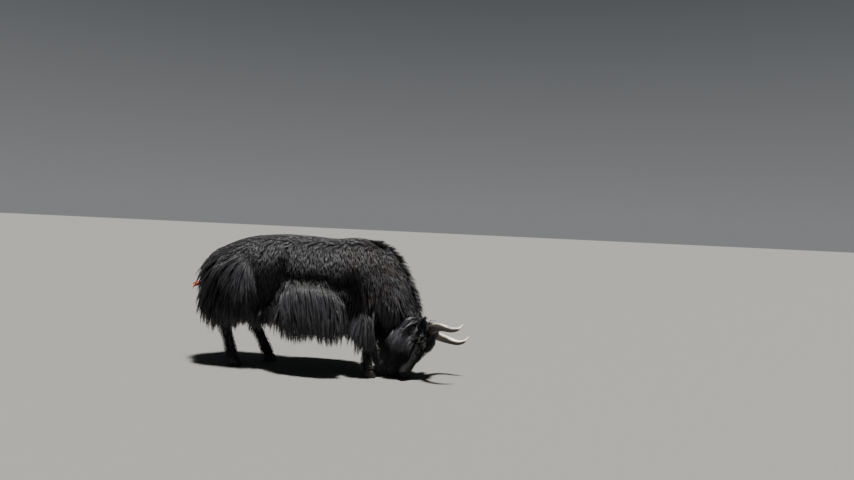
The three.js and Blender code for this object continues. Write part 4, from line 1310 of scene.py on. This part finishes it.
def make_coat(made_of):
    """The tufts that cover the skin, a piece for each region, with the crest and the locks."""
    table = anchors()
    roots, normals = sample_skin(skin.data, TUFTS, table)
    lean, length, lift, depth = groom(roots, table)
    guide_count = int(TUFTS * GUIDE_SHARE)
    tree = BVHTree.FromObject(skin, bpy.context.evaluated_depsgraph_get())
    mine = slice(0, guide_count)
    length_varied = length * rng.uniform(0.85, 1.1, TUFTS)
    lean = unit(lean + rng.normal(0, LEAN_VARIES, lean.shape))
    guides, outs = comb(
        roots[mine], normals[mine], lean[mine], length_varied[mine], lift[mine], depth[mine], tree
    )
    places = KDTree(guide_count)
    for k in range(guide_count):
        places.insert(roots[k], k)
    places.balance()
    nearest = np.array([places.find(root)[1] for root in roots])
    offset = roots - roots[nearest]
    length_share = length / length_varied[nearest] * rng.uniform(0.75, 1.0, TUFTS)
    length_share = np.clip(length_share, 0.3, 1)
    on_map = unwrap(roots)
    region = region_of(roots)
    on_head = np.array(["head" in name for name in region[mine]])
    guide_shade = 0.5 * rng.uniform(0, 1, guide_count) + 0.5 * mottle(roots[mine])
    # Painted shade: the head's hair is darkened as if the face stood in shadow.
    guide_shade *= np.where(on_head, HEAD_PAINTED_SHADE, 1)
    longest = length / MM
    make_crest(tree, made_of)
    for name, locks in LOCKS.items():
        for side in locks[0]:
            make_locks(name, side, locks, tree, made_of, on_head=name == "forelock")
    for name in sorted(set(region)):
        parts, least = [], 0
        for kind in KINDS:
            chosen = (region == name) & (longest >= least) & (longest < kind[0])
            least = kind[0]
            if not chosen.any():
                continue
            parts.append(
                grow_tufts(
                    kind,
                    offset[chosen],
                    guides[nearest[chosen]],
                    outs[nearest[chosen]],
                    length_share[chosen],
                    on_map[chosen],
                    guide_shade[nearest[chosen]],
                )
            )
        coat_piece(name, parts, made_of)


# Materials
def grey(value):
    return (value,) * 3


def material(name, roughness, specular=0.5):
    made = bpy.data.materials.new(name)
    made.use_nodes = True
    shader = made.node_tree.nodes["Principled BSDF"]
    shader.inputs["Roughness"].default_value = roughness
    shader.inputs["Specular IOR Level"].default_value = specular
    return made, made.node_tree, shader


def attribute(tree, name):
    """The vertices' values of that name."""
    made = tree.nodes.new("ShaderNodeAttribute")
    made.attribute_name = name
    return made.outputs["Fac"]


def object_place(tree):
    return tree.nodes.new("ShaderNodeTexCoord").outputs["Object"]


def vector_math(tree, operation, vector, *values):
    """The operation on a linked vector and up to two constant ones."""
    made = tree.nodes.new("ShaderNodeVectorMath")
    made.operation = operation
    tree.links.new(vector, made.inputs[0])
    for index, value in enumerate(values):
        made.inputs[index + 1].default_value = value
    return made.outputs["Value" if operation in ("LENGTH", "DISTANCE") else "Vector"]


def ramp(tree, source, stops):
    """Colours against a value, from stops of a place and a colour."""
    made = tree.nodes.new("ShaderNodeValToRGB")
    while len(made.color_ramp.elements) < len(stops):
        made.color_ramp.elements.new(0.5)
    for element, (at, colour) in zip(made.color_ramp.elements, stops):
        element.position = at
        element.color = (*colour, 1)
    tree.links.new(source, made.inputs["Fac"])
    return made.outputs["Color"]


def mixed(tree, share, a, b, blend="MIX"):
    """Share of b over a. Each of the three is a socket or a constant."""
    made = tree.nodes.new("ShaderNodeMix")
    made.data_type = "RGBA"
    made.blend_type = blend
    for socket, value in ((made.inputs[0], share), (made.inputs[6], a), (made.inputs[7], b)):
        if isinstance(value, bpy.types.NodeSocket):
            tree.links.new(value, socket)
        else:
            socket.default_value = (*value, 1) if isinstance(value, tuple) else value
    return made.outputs[2]


def noise(tree, scale, detail=3, stretch=(1, 1, 1)):
    """Noise in the object's own place. It runs long where stretch is small."""
    mapping = tree.nodes.new("ShaderNodeMapping")
    mapping.inputs["Scale"].default_value = stretch
    made = tree.nodes.new("ShaderNodeTexNoise")
    made.inputs["Scale"].default_value = scale
    made.inputs["Detail"].default_value = detail
    tree.links.new(object_place(tree), mapping.inputs["Vector"])
    tree.links.new(mapping.outputs["Vector"], made.inputs["Vector"])
    return made.outputs["Fac"]


def bump(tree, shader, height, distance, strength=1.0):
    made = tree.nodes.new("ShaderNodeBump")
    made.inputs["Distance"].default_value = distance
    made.inputs["Strength"].default_value = strength
    tree.links.new(height, made.inputs["Height"])
    tree.links.new(made.outputs["Normal"], shader.inputs["Normal"])


BLACK, BLACK_TIP = (0.0035, 0.0035, 0.0042), (0.044, 0.044, 0.05)
NOSE = (0.005, 0.0048, 0.005)
BROWN = (0.034, 0.021, 0.015)
SHOULDER_AT = (700, 0, 950)
# Painted shade and painted light on the coat and skin: patches darkened as if in shade, in the
# hollows round the dome and behind the barrel, on the barrel, the thigh and round the eye, and
# lightened as if in sunlight, on the neck and cheek. For each, x and z of the middle in
# millimetres, half sizes in metres, and what its colour is multiplied by there
PAINTED_LIGHT_AND_SHADE_PATCHES = [
    ((-110, 1020), (0.13, 0.2), 0.25),
    ((250, 900), (0.42, 0.11), 0.25),
    ((600, 800), (0.13, 0.3), 0.25),
    ((-330, 620), (0.2, 0.25), 0.25),
    ((-310, 985), (0.17, 0.19), 0.25),
    ((130, 1015), (0.36, 0.15), 0.45),
    ((-860, 720), (0.2, 0.36), 0.25),
    ((890, 780), (0.22, 0.32), 2.3),
    ((1070, 400), (0.15, 0.13), 1.7),
    ((1255, 380), (0.1, 0.22), 0.3),
]


def tinted_with_painted_light(tree, colour):
    """The coat's colour, browner over the shoulder and here and there, with its patches of painted
    shade and painted light.
    """
    place = object_place(tree)
    away = vector_math(tree, "DISTANCE", place, spot(SHOULDER_AT))
    shoulder = ramp(tree, away, [(0.2, grey(0.75)), (0.48, grey(0.06))])
    patches = ramp(tree, noise(tree, 7, 4), [(0.42, grey(0)), (0.66, grey(1))])
    share = mixed(tree, 1.0, shoulder, patches, "MULTIPLY")
    tint_and_painted_light = mixed(tree, share, colour, BROWN)
    # Painted shade and painted light: each patch multiplies the colour, darker where shade should
    # fall and lighter where sunlight should.
    for (x, z), (half_x, half_z), strength in PAINTED_LIGHT_AND_SHADE_PATCHES:
        scale = np.array((1 / half_x, 0, 1 / half_z))
        inside = vector_math(tree, "MULTIPLY_ADD", place, scale, -spot((x, 0, z)) * scale)
        away = vector_math(tree, "LENGTH", inside)
        painted_patch = ramp(tree, away, [(0.45, grey(strength)), (1.0, grey(1))])
        tint_and_painted_light = mixed(tree, 1.0, tint_and_painted_light, painted_patch, "MULTIPLY")
    return tint_and_painted_light


def hair_material():
    made, tree, shader = material("coat_hair", 0.36, 0.6)
    along = attribute(tree, "along")
    # Darker towards each tuft's root: partly the hair's own colour, partly painted shade deep in the
    # coat.
    colour = ramp(tree, along, [(0.05, BLACK), (0.8, BLACK_TIP)])
    # The tufts' shade: their own tone, varying at random and in patches, with painted shade on the
    # head, crest, elbows and beard and painted light on the cheeks, napes and hips.
    lighter = ramp(tree, attribute(tree, "shade"), [(0.0, grey(0.3)), (1.0, grey(1.9))])
    colour = mixed(tree, 1.0, colour, lighter, "MULTIPLY")
    tree.links.new(tinted_with_painted_light(tree, colour), shader.inputs["Base Color"])
    dull = ramp(tree, along, [(0.1, grey(0.75)), (0.5, grey(0.35))])
    tree.links.new(dull, shader.inputs["Roughness"])
    return made


def skin_material():
    made, tree, shader = material("skin", 0.75, 0.2)
    bare = attribute(tree, "bare")
    tree.links.new(mixed(tree, bare, tinted_with_painted_light(tree, BLACK), NOSE), shader.inputs["Base Color"])
    cells = tree.nodes.new("ShaderNodeTexVoronoi")
    cells.inputs["Scale"].default_value = 230
    tree.links.new(object_place(tree), cells.inputs["Vector"])
    pebbles = ramp(tree, cells.outputs["Distance"], [(0.0, grey(1)), (0.7, grey(0))])
    strands = noise(tree, 420, 2, (1, 1, 0.22))
    bump(tree, shader, mixed(tree, bare, strands, pebbles), 0.0015, 0.9)
    return made


def horn_material():
    made, tree, shader = material("horn", 0.38, 0.5)
    brown = [(0.3, (0.022, 0.018, 0.016)), (0.7, (0.06, 0.048, 0.041))]
    cream = [(0.3, (0.62, 0.55, 0.43)), (0.7, (0.8, 0.76, 0.66))]
    brown, cream = ramp(tree, noise(tree, 60, 4), brown), ramp(tree, noise(tree, 90), cream)
    # Cream where the horn is pale: its own colour, and painted light on its upper side.
    tree.links.new(mixed(tree, attribute(tree, "pale_and_painted_light"), brown, cream), shader.inputs["Base Color"])
    bump(tree, shader, noise(tree, 700, 2), 0.0004, 0.5)
    return made


def hoof_material():
    made, tree, shader = material("hoof", 0.5, 0.4)
    streaks = noise(tree, 90, 4, (1, 1, 0.25))
    colour = ramp(tree, streaks, [(0.3, (0.005, 0.0045, 0.0045)), (0.75, (0.015, 0.013, 0.012))])
    tree.links.new(colour, shader.inputs["Base Color"])
    bump(tree, shader, noise(tree, 500, 3, (1, 1, 0.2)), 0.0006, 0.6)
    return made


def eye_material():
    made, tree, shader = material("eye", 0.05, 0.6)
    shader.inputs["Coat Weight"].default_value = 0.4
    shader.inputs["Coat Roughness"].default_value = 0.02
    from_iris, from_pupil = (
        vector_math(tree, "LENGTH", vector_math(tree, "MULTIPLY", object_place(tree), scale))
        for scale in ((0, 1 / (long * MM), 1 / (high * MM)) for long, high in (IRIS, PUPIL))
    )
    colour = ramp(
        tree,
        from_iris,
        [
            (0.0, (0.02, 0.01, 0.006)),
            (0.42, (0.03, 0.015, 0.008)),
            (0.56, (0.005, 0.003, 0.002)),
            (0.7, (0.03, 0.02, 0.016)),
            (1.0, (0.06, 0.04, 0.034)),
        ],
    )
    pupil = ramp(tree, from_pupil, [(0.9, grey(0)), (1.0, grey(1))])
    tree.links.new(mixed(tree, pupil, (0.004, 0.004, 0.006), colour), shader.inputs["Base Color"])
    return made


def cloth_material():
    made, tree, shader = material("ribbon", 0.8, 0.2)
    colour = ramp(tree, noise(tree, 60, 3), [(0.3, (0.32, 0.042, 0.016)), (0.7, (0.52, 0.1, 0.035))])
    tree.links.new(colour, shader.inputs["Base Color"])
    shader.inputs["Sheen Weight"].default_value = 0.3
    bump(tree, shader, noise(tree, 1500, 2), 0.0003, 0.6)
    return made


# Horns
HORN_STEPS, HORN_SIDES = 150, 44
HORN_RINGS, HORN_RING_DEEP = 26, 0.022
# Painted light: the side of a horn that faces up is paler, partly its own colour, partly a painted
# highlight from the light above.
HORN_PALE_AND_PAINTED_LIGHT = {"right": (0.78, 1.0), "left": (0.2, 0.7)}  # how far up the paler side faces
HORN_TIP_PALE = (45, 80)  # where the pale tip ends, in millimetres from it
HORN_RINGED = 0.45  # the share of the horn that has growth rings


def horn_relief(t, angle):
    """Growth rings near the base and fine grooves along the horn."""
    fade = np.clip(1 - t / HORN_RINGED, 0, 1) ** 1.3
    rings = np.sin(HORN_RINGS * 2 * math.pi * (t + 0.006 * np.sin(3 * angle + 20 * t)))
    grooves = 0.004 * np.sin(17 * angle + 5 * np.sin(6 * t)) + 0.003 * np.sin(31 * angle - 9 * t)
    return HORN_RING_DEEP * fade * rings + grooves * (1 - t)


def make_horn(name, side, made_of):
    """A horn with growth rings, paler at its tip and paler above, where the paleness is partly its
    own colour and partly a painted highlight from the light above.
    """
    rows = [(*place, thick, thick, thick, 0) for place, thick in zip(HORN_LINE, HORN_THICK)]
    form = Form(rows, side, across=(1, 0, 0), caps=(0.2, 1), in_head_frame=True)
    piece = new_object(f"horn_{name}", *form.mesh(HORN_STEPS, HORN_SIDES, relief=horn_relief))
    up = normals_of(piece.data)[:, 2]
    points = coordinates(piece.data)
    wander = 0.05 * np.sin(points[:, 0] * 60) + 0.04 * np.sin(points[:, 1] * 95)
    near, far = np.array(HORN_TIP_PALE) * MM
    tip = smooth_step(-np.linalg.norm(points - points[-1], axis=1), -far, -near)
    # Paler where the normal faces up, partly the horn's colour and partly painted light, and paler at
    # the tip.
    pale_and_painted_light = np.maximum(smooth_step(up + wander, *HORN_PALE_AND_PAINTED_LIGHT[name]), tip)
    set_attribute(piece.data, "pale_and_painted_light", pale_and_painted_light)
    piece.data.materials.append(made_of)
    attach(piece, "root")
    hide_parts(f"{name}_horn")


# Eyes
# Half the length and height of the eye's colours and of the pupil, in millimetres
IRIS, PUPIL = (20, 20), (6.5, 4)
CORNEA_SIZE, CORNEA_RAISED = 10, 1.6


def make_eye(name, side, made_of):
    """An eyeball with a raised cornea, its own +X the way that it looks."""
    axes = eye_axes(side)
    points, faces = ellipsoid((0, 0, 0), (EYE_RADIUS,) * 3, 48, 64)
    points = in_head(points)
    away = np.hypot(points[:, 1], points[:, 2])
    points[:, 0] += (points[:, 0] > 0) * CORNEA_RAISED * bell(away, CORNEA_SIZE) ** 2
    piece = new_object(f"eye_{name}", points * MM, faces)
    turn = np.eye(4)
    turn[:3, :3] = axes.T
    turn[:3, 3] = np.array(EYE_AT) * (1, side, 1) * MM
    piece.matrix_world = Matrix(HEAD @ turn)
    piece.data.materials.append(made_of)
    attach(piece, "root")
    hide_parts(f"{name}_eye")


# Ears
EAR_STEPS, EAR_TURNS, EAR_THICK = 28, 30, 4.5
EAR_OPENS = (0, 1, 0.4)  # the way that the cup faces, in the head's frame
EAR_CURL = math.radians(112)  # how far it curls to each side of its middle line
EAR_TUFTS, EAR_HAIR, EAR_FRINGE = 1600, 26, 46
EAR_EDGE_SHARE, EAR_INNER_SHARE = 0.4, 0.3  # of the tufts, at the edges and inside the cup
EAR_CELL = 15  # of the map


def ear_sheet(form, side, t, turn, inward):
    """Points of the cupped sheet of the ear at places t and turns round it, inward metres deep."""
    row = form.row(t)
    along = unit(form.row(t + 0.02)[..., :3] - form.row(t - 0.02)[..., :3])
    opens = np.array(EAR_OPENS, float) * (1, side, 1)
    opens = unit(opens - along * dot(along, opens))
    across = np.cross(along, opens)
    wide = np.maximum(row[..., 3] - inward, 0.0005)
    deep = np.maximum(row[..., 4] - inward, 0.0005)
    flare = 1 + 0.03 * np.sin(9 * t + 2 * turn)
    points = row[..., :3] + across * (wide * np.sin(turn) * flare)[..., None]
    return moved(points - opens * (deep * np.cos(turn))[..., None], HEAD)


def make_ear(name, side, skin_made_of, hair_made_of):
    """A cupped ear of two sheets joined at their border, with its hair."""
    rows = [(*place, wide, cup, cup, 0) for place, (wide, cup) in zip(EAR_LINE, EAR_SIZES)]
    form = Form(rows, side, in_head_frame=True)
    steps, turns = np.linspace(0, 1, EAR_STEPS + 1), np.linspace(-EAR_CURL, EAR_CURL, EAR_TURNS + 1)
    t, turn = np.meshgrid(steps, turns, indexing="ij")
    sheets = [ear_sheet(form, side, t, turn, inward * MM) for inward in (0, EAR_THICK)]
    points = np.concatenate([sheet.reshape(-1, 3) for sheet in sheets])
    across = EAR_TURNS + 1
    count = len(points) // 2
    quads = []
    for i in range(EAR_STEPS):
        for j in range(EAR_TURNS):
            a = i * across + j
            quad = (a, a + 1, a + 1 + across, a + across)
            quads.append(quad if side == LEFT else quad[::-1])
    border = [i * across for i in range(EAR_STEPS + 1)]
    border += [EAR_STEPS * across + j for j in range(1, across)]
    border += [i * across + EAR_TURNS for i in range(EAR_STEPS - 1, -1, -1)]
    border += list(range(EAR_TURNS - 1, 0, -1))
    faces = quads + [tuple(k + count for k in quad[::-1]) for quad in quads]
    for a, b in zip(border, border[1:] + border[:1]):
        quad = (a, b, b + count, a + count)
        faces.append(quad[::-1] if side == LEFT else quad)
    piece = new_object(f"ear_{name}", points, faces)
    smooth = piece.modifiers.new("soft", "SUBSURF")
    smooth.levels = smooth.render_levels = 1
    apply_modifiers(piece)
    piece.data.materials.append(skin_made_of)
    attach(piece, "root")
    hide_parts(f"{name}_ear")
    ear_tufts(name, side, form, hair_made_of)


def ear_tufts(name, side, form, made_of):
    """Short hair on the ear, inside it too, and a fringe along its edges."""
    tuft_t = rng.uniform(0.12, 1, EAR_TUFTS) ** 0.9
    edge = rng.uniform(0, 1, EAR_TUFTS) < EAR_EDGE_SHARE
    at_edge = rng.choice((-1, 1), EAR_TUFTS) * rng.uniform(0.8, 1, EAR_TUFTS)
    tuft_turn = np.where(edge, at_edge, rng.uniform(-1, 1, EAR_TUFTS))
    inner = rng.uniform(0, 1, EAR_TUFTS) < EAR_INNER_SHARE
    angle = tuft_turn * EAR_CURL
    roots = ear_sheet(form, side, tuft_t, angle, np.where(inner, EAR_THICK, 0.5) * MM)
    deep = 0.5 * MM
    around = ear_sheet(form, side, tuft_t, angle + 0.05, deep)
    back = ear_sheet(form, side, np.maximum(tuft_t - 0.03, 0), angle, deep)
    here = ear_sheet(form, side, tuft_t, angle, deep)
    way, round_ = unit(here - back), unit(around - here)
    out = unit(np.cross(round_, way)) * side
    out = np.where(inner[:, None], -out, out)
    edge_way = round_ * np.sign(tuft_turn)[:, None]
    length = np.where(edge, EAR_FRINGE, EAR_HAIR) * rng.uniform(0.6, 1.1, EAR_TUFTS) * MM
    lean = way + 0.22 * out + edge[:, None] * 0.5 * edge_way
    lean = unit(lean + rng.normal(0, 0.12, lean.shape))
    droop = np.where(edge, 0.35, 0.12)
    row, column = divmod(EAR_CELL, CHARTS_ACROSS)
    on_map = np.stack([0.5 + 0.4 * tuft_turn + column, 0.05 + 0.9 * tuft_t + row], -1) / CHARTS_ACROSS
    # The ear's hair gets the head's painted shade, darkened as if in shadow.
    tufts = sprout(roots, out, lean, length, droop, KINDS[1], on_map, np.full(EAR_TUFTS, HEAD_PAINTED_SHADE))
    coat_piece(f"coat_ear_{name}", [tufts], made_of)


# Hooves: how far up a claw, and its reach back and to the front as shares of its length, and
# to each side as a share of its width
HOOF_ROWS = [
    (0, 0.42, 0.56, 0.47),
    (0.12, 0.43, 0.58, 0.5),
    (0.6, 0.4, 0.46, 0.48),
    (1, 0.34, 0.34, 0.42),
]
HOOF_RINGS, HOOF_SIDES = 26, 40
HOOF_TAPER = 0.25  # how much narrower the toe is
DEW_CLAW_SIZES = np.array((1, 0.8, 1.3)) * DEW_CLAW["radius"]


def claw(foot_x, middle_y, which):
    """One claw of a foot, with its sole flat on the ground."""
    length, width, height = HOOF["length"], HOOF["width"], HOOF["height"]
    angle = np.arange(HOOF_SIDES) * 2 * math.pi / HOOF_SIDES
    c, s = np.cos(angle), np.sin(angle)
    rings = []
    ups = np.concatenate([[0, 0, 0.02], np.linspace(0.06, 1, HOOF_RINGS - 5), [1.02, 1.02]])
    shrinks = np.concatenate([[0.05, 0.95, 0.99], np.ones(HOOF_RINGS - 5), [0.85, 0.05]])
    at, *columns = zip(*HOOF_ROWS)
    for up, shrink in zip(ups, shrinks):
        back, front, wide = (np.interp(up, at, column) for column in columns)
        shrink = shrink * (1 + 0.012 * math.sin(38 * up) * (0 < up < 1))
        x = length * np.where(c > 0, front, back) * c * shrink
        y = width * wide * s * (1 - HOOF_TAPER * np.maximum(c, 0)) * shrink
        rings.append(np.stack([x, y, np.full(HOOF_SIDES, height * up)], -1))
    points = np.concatenate(rings)
    points[:, 0] += foot_x + HOOF["ahead"]
    points[:, 1] += middle_y + which * (width + HOOF["between"]) * 0.5
    k = np.arange(HOOF_SIDES)
    ends = [tuple(k[::-1]), tuple((len(rings) - 1) * HOOF_SIDES + k)]
    return spot(points), ends + wall(len(rings), HOOF_SIDES)


def make_hoof(name, made_of):
    """A foot's two claws and two dew claws."""
    side, y, joints = LEGS[name]
    parts = [claw(joints[-1][0], side * y, which) for which in (LEFT, RIGHT)]
    points, faces = ellipsoid((0, 0, 0), DEW_CLAW_SIZES, 14, 20)
    back = joints[-2][0] - DEW_CLAW["back"]
    for which in (LEFT, RIGHT):
        middle = (back, side * y + which * DEW_CLAW["apart"], DEW_CLAW["up"])
        parts.append((spot(in_head(points) + middle), faces))
    piece = new_object(f"hooves_{name}", *joined(parts))
    piece.data.materials.append(made_of)
    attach(piece, "root")
    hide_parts(f"{name}_claw_outer", f"{name}_claw_inner")


# Ribbon
RIBBON_LINE = [(-1085, -6, 790), (-1120, 0, 782), (-1165, 6, 783), (-1215, -5, 772), (-1262, 5, 755)]
RIBBON_HALF, RIBBON_THICK = 24, 1.6
RIBBON_STEPS, RIBBON_ACROSS = 40, 10
RIBBON_KNOT = 0.35  # how wide it is where it is tied, as a share
RIBBON_FOLD, RIBBON_SLANT = 6, 0.15


def make_ribbon(made_of):
    """A narrow strip of cloth that trails from the tail."""
    rows = [(*place, RIBBON_HALF, RIBBON_HALF, RIBBON_HALF, 0) for place in RIBBON_LINE]
    t = np.linspace(0, 1, RIBBON_STEPS + 1)
    line = Form(rows).row(t)[:, :3]
    grid = []
    for at, place in zip(t, line):
        opened = min(1, 4 * at)
        half = RIBBON_HALF * MM * (RIBBON_KNOT + (1 - RIBBON_KNOT) * opened)
        for v in np.linspace(-1, 1, RIBBON_ACROSS + 1):
            fold = RIBBON_FOLD * MM * math.sin(2.2 * v + 7 * at) * opened
            grid.append(place + np.array((RIBBON_SLANT * half * v, fold, half * v)))
    grid = np.array(grid)
    wide = RIBBON_ACROSS + 1
    corners = [i * wide + j for i in range(RIBBON_STEPS) for j in range(RIBBON_ACROSS)]
    faces = [(k, k + 1, k + wide + 1, k + wide) for k in corners]
    piece = new_object("ribbon", grid, faces)
    thick = piece.modifiers.new("thick", "SOLIDIFY")
    thick.thickness = RIBBON_THICK * MM
    thick.offset = 0
    apply_modifiers(piece)
    piece.data.materials.append(made_of)
    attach(piece, "root")
    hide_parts("tail_ribbon")


skin = make_skin()
skin_made_of, hair_made_of = skin_material(), hair_material()
skin.data.materials.append(skin_made_of)
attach(skin, "root")
apart = ("horn", "eye", "ear", "ribbon", "claw_outer", "claw_inner")
flesh = [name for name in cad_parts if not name.endswith(apart)]
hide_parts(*flesh)
make_coat(hair_made_of)
horn_made_of, eye_made_of, hoof_made_of = horn_material(), eye_material(), hoof_material()
for name, side in SIDES.items():
    make_horn(name, side, horn_made_of)
    make_eye(name, side, eye_made_of)
    make_ear(name, side, skin_made_of, hair_made_of)
for name in LEGS:
    make_hoof(name, hoof_made_of)
make_ribbon(cloth_material())

# Camera
right = Vector((math.cos(CAMERA_YAW), math.sin(CAMERA_YAW), 0))
ahead = Vector((-math.sin(CAMERA_YAW), math.cos(CAMERA_YAW), 0))
nod = math.atan2(-HORIZON_BELOW_MIDDLE_PX, FOCAL_PX)
forward = ahead * math.cos(nod) - Vector((0, 0, 1)) * math.sin(nod)
upward = Vector((0, 0, 1)) * math.cos(nod) + ahead * math.sin(nod)
across = right * math.cos(CAMERA_ROLL) + upward * math.sin(CAMERA_ROLL)
upward = upward * math.cos(CAMERA_ROLL) - right * math.sin(CAMERA_ROLL)
camera = linked("camera", bpy.data.cameras.new("camera"))
camera.data.sensor_width = SENSOR
camera.data.lens = SENSOR * FOCAL_PX / FRAME_WIDTH
turned = Matrix((across, upward, -forward)).transposed().to_4x4()
camera.matrix_world = Matrix.Translation(CAMERA_AT) @ turned
bpy.context.scene.camera = camera

# Floor and light
FLOOR_HALF, FLOOR_COLOUR = 90, (0.155, 0.153, 0.145, 1)
SUN_WAY, SUN_COLOUR, SUN_STRENGTH, SUN_SOFT_DEG = (-0.14, 0.1, -1), (1, 0.98, 0.95), 11, 7
SKY_LOW, SKY_HIGH = (0.21, 0.215, 0.22), (0.05, 0.055, 0.063)

corners = [(-1, -1, 0), (1, -1, 0), (1, 1, 0), (-1, 1, 0)]
floor = new_object("floor", np.array(corners) * FLOOR_HALF, [(0, 1, 2, 3)])
floor_material, tree, shader = material("floor", 0.9, 0.2)
shader.inputs["Base Color"].default_value = FLOOR_COLOUR
floor.data.materials.append(floor_material)

sun = linked("key", bpy.data.lights.new("key", "SUN"))
sun.data.angle = math.radians(SUN_SOFT_DEG)
sun.data.energy = SUN_STRENGTH
sun.data.color = SUN_COLOUR
sun.location = (0, 0, 5)
sun.rotation_euler = Vector(SUN_WAY).to_track_quat("-Z", "Y").to_euler()

world = bpy.data.worlds.new("studio")
world.use_nodes = True
sky = world.node_tree
way = sky.nodes.new("ShaderNodeTexCoord")
height = sky.nodes.new("ShaderNodeSeparateXYZ")
sky.links.new(way.outputs["Generated"], height.inputs[0])
fade = ramp(sky, height.outputs["Z"], [(0.02, SKY_LOW), (0.4, SKY_HIGH)])
sky.links.new(fade, sky.nodes["Background"].inputs["Color"])
sky.nodes["Background"].inputs["Strength"].default_value = 1
bpy.context.scene.world = world
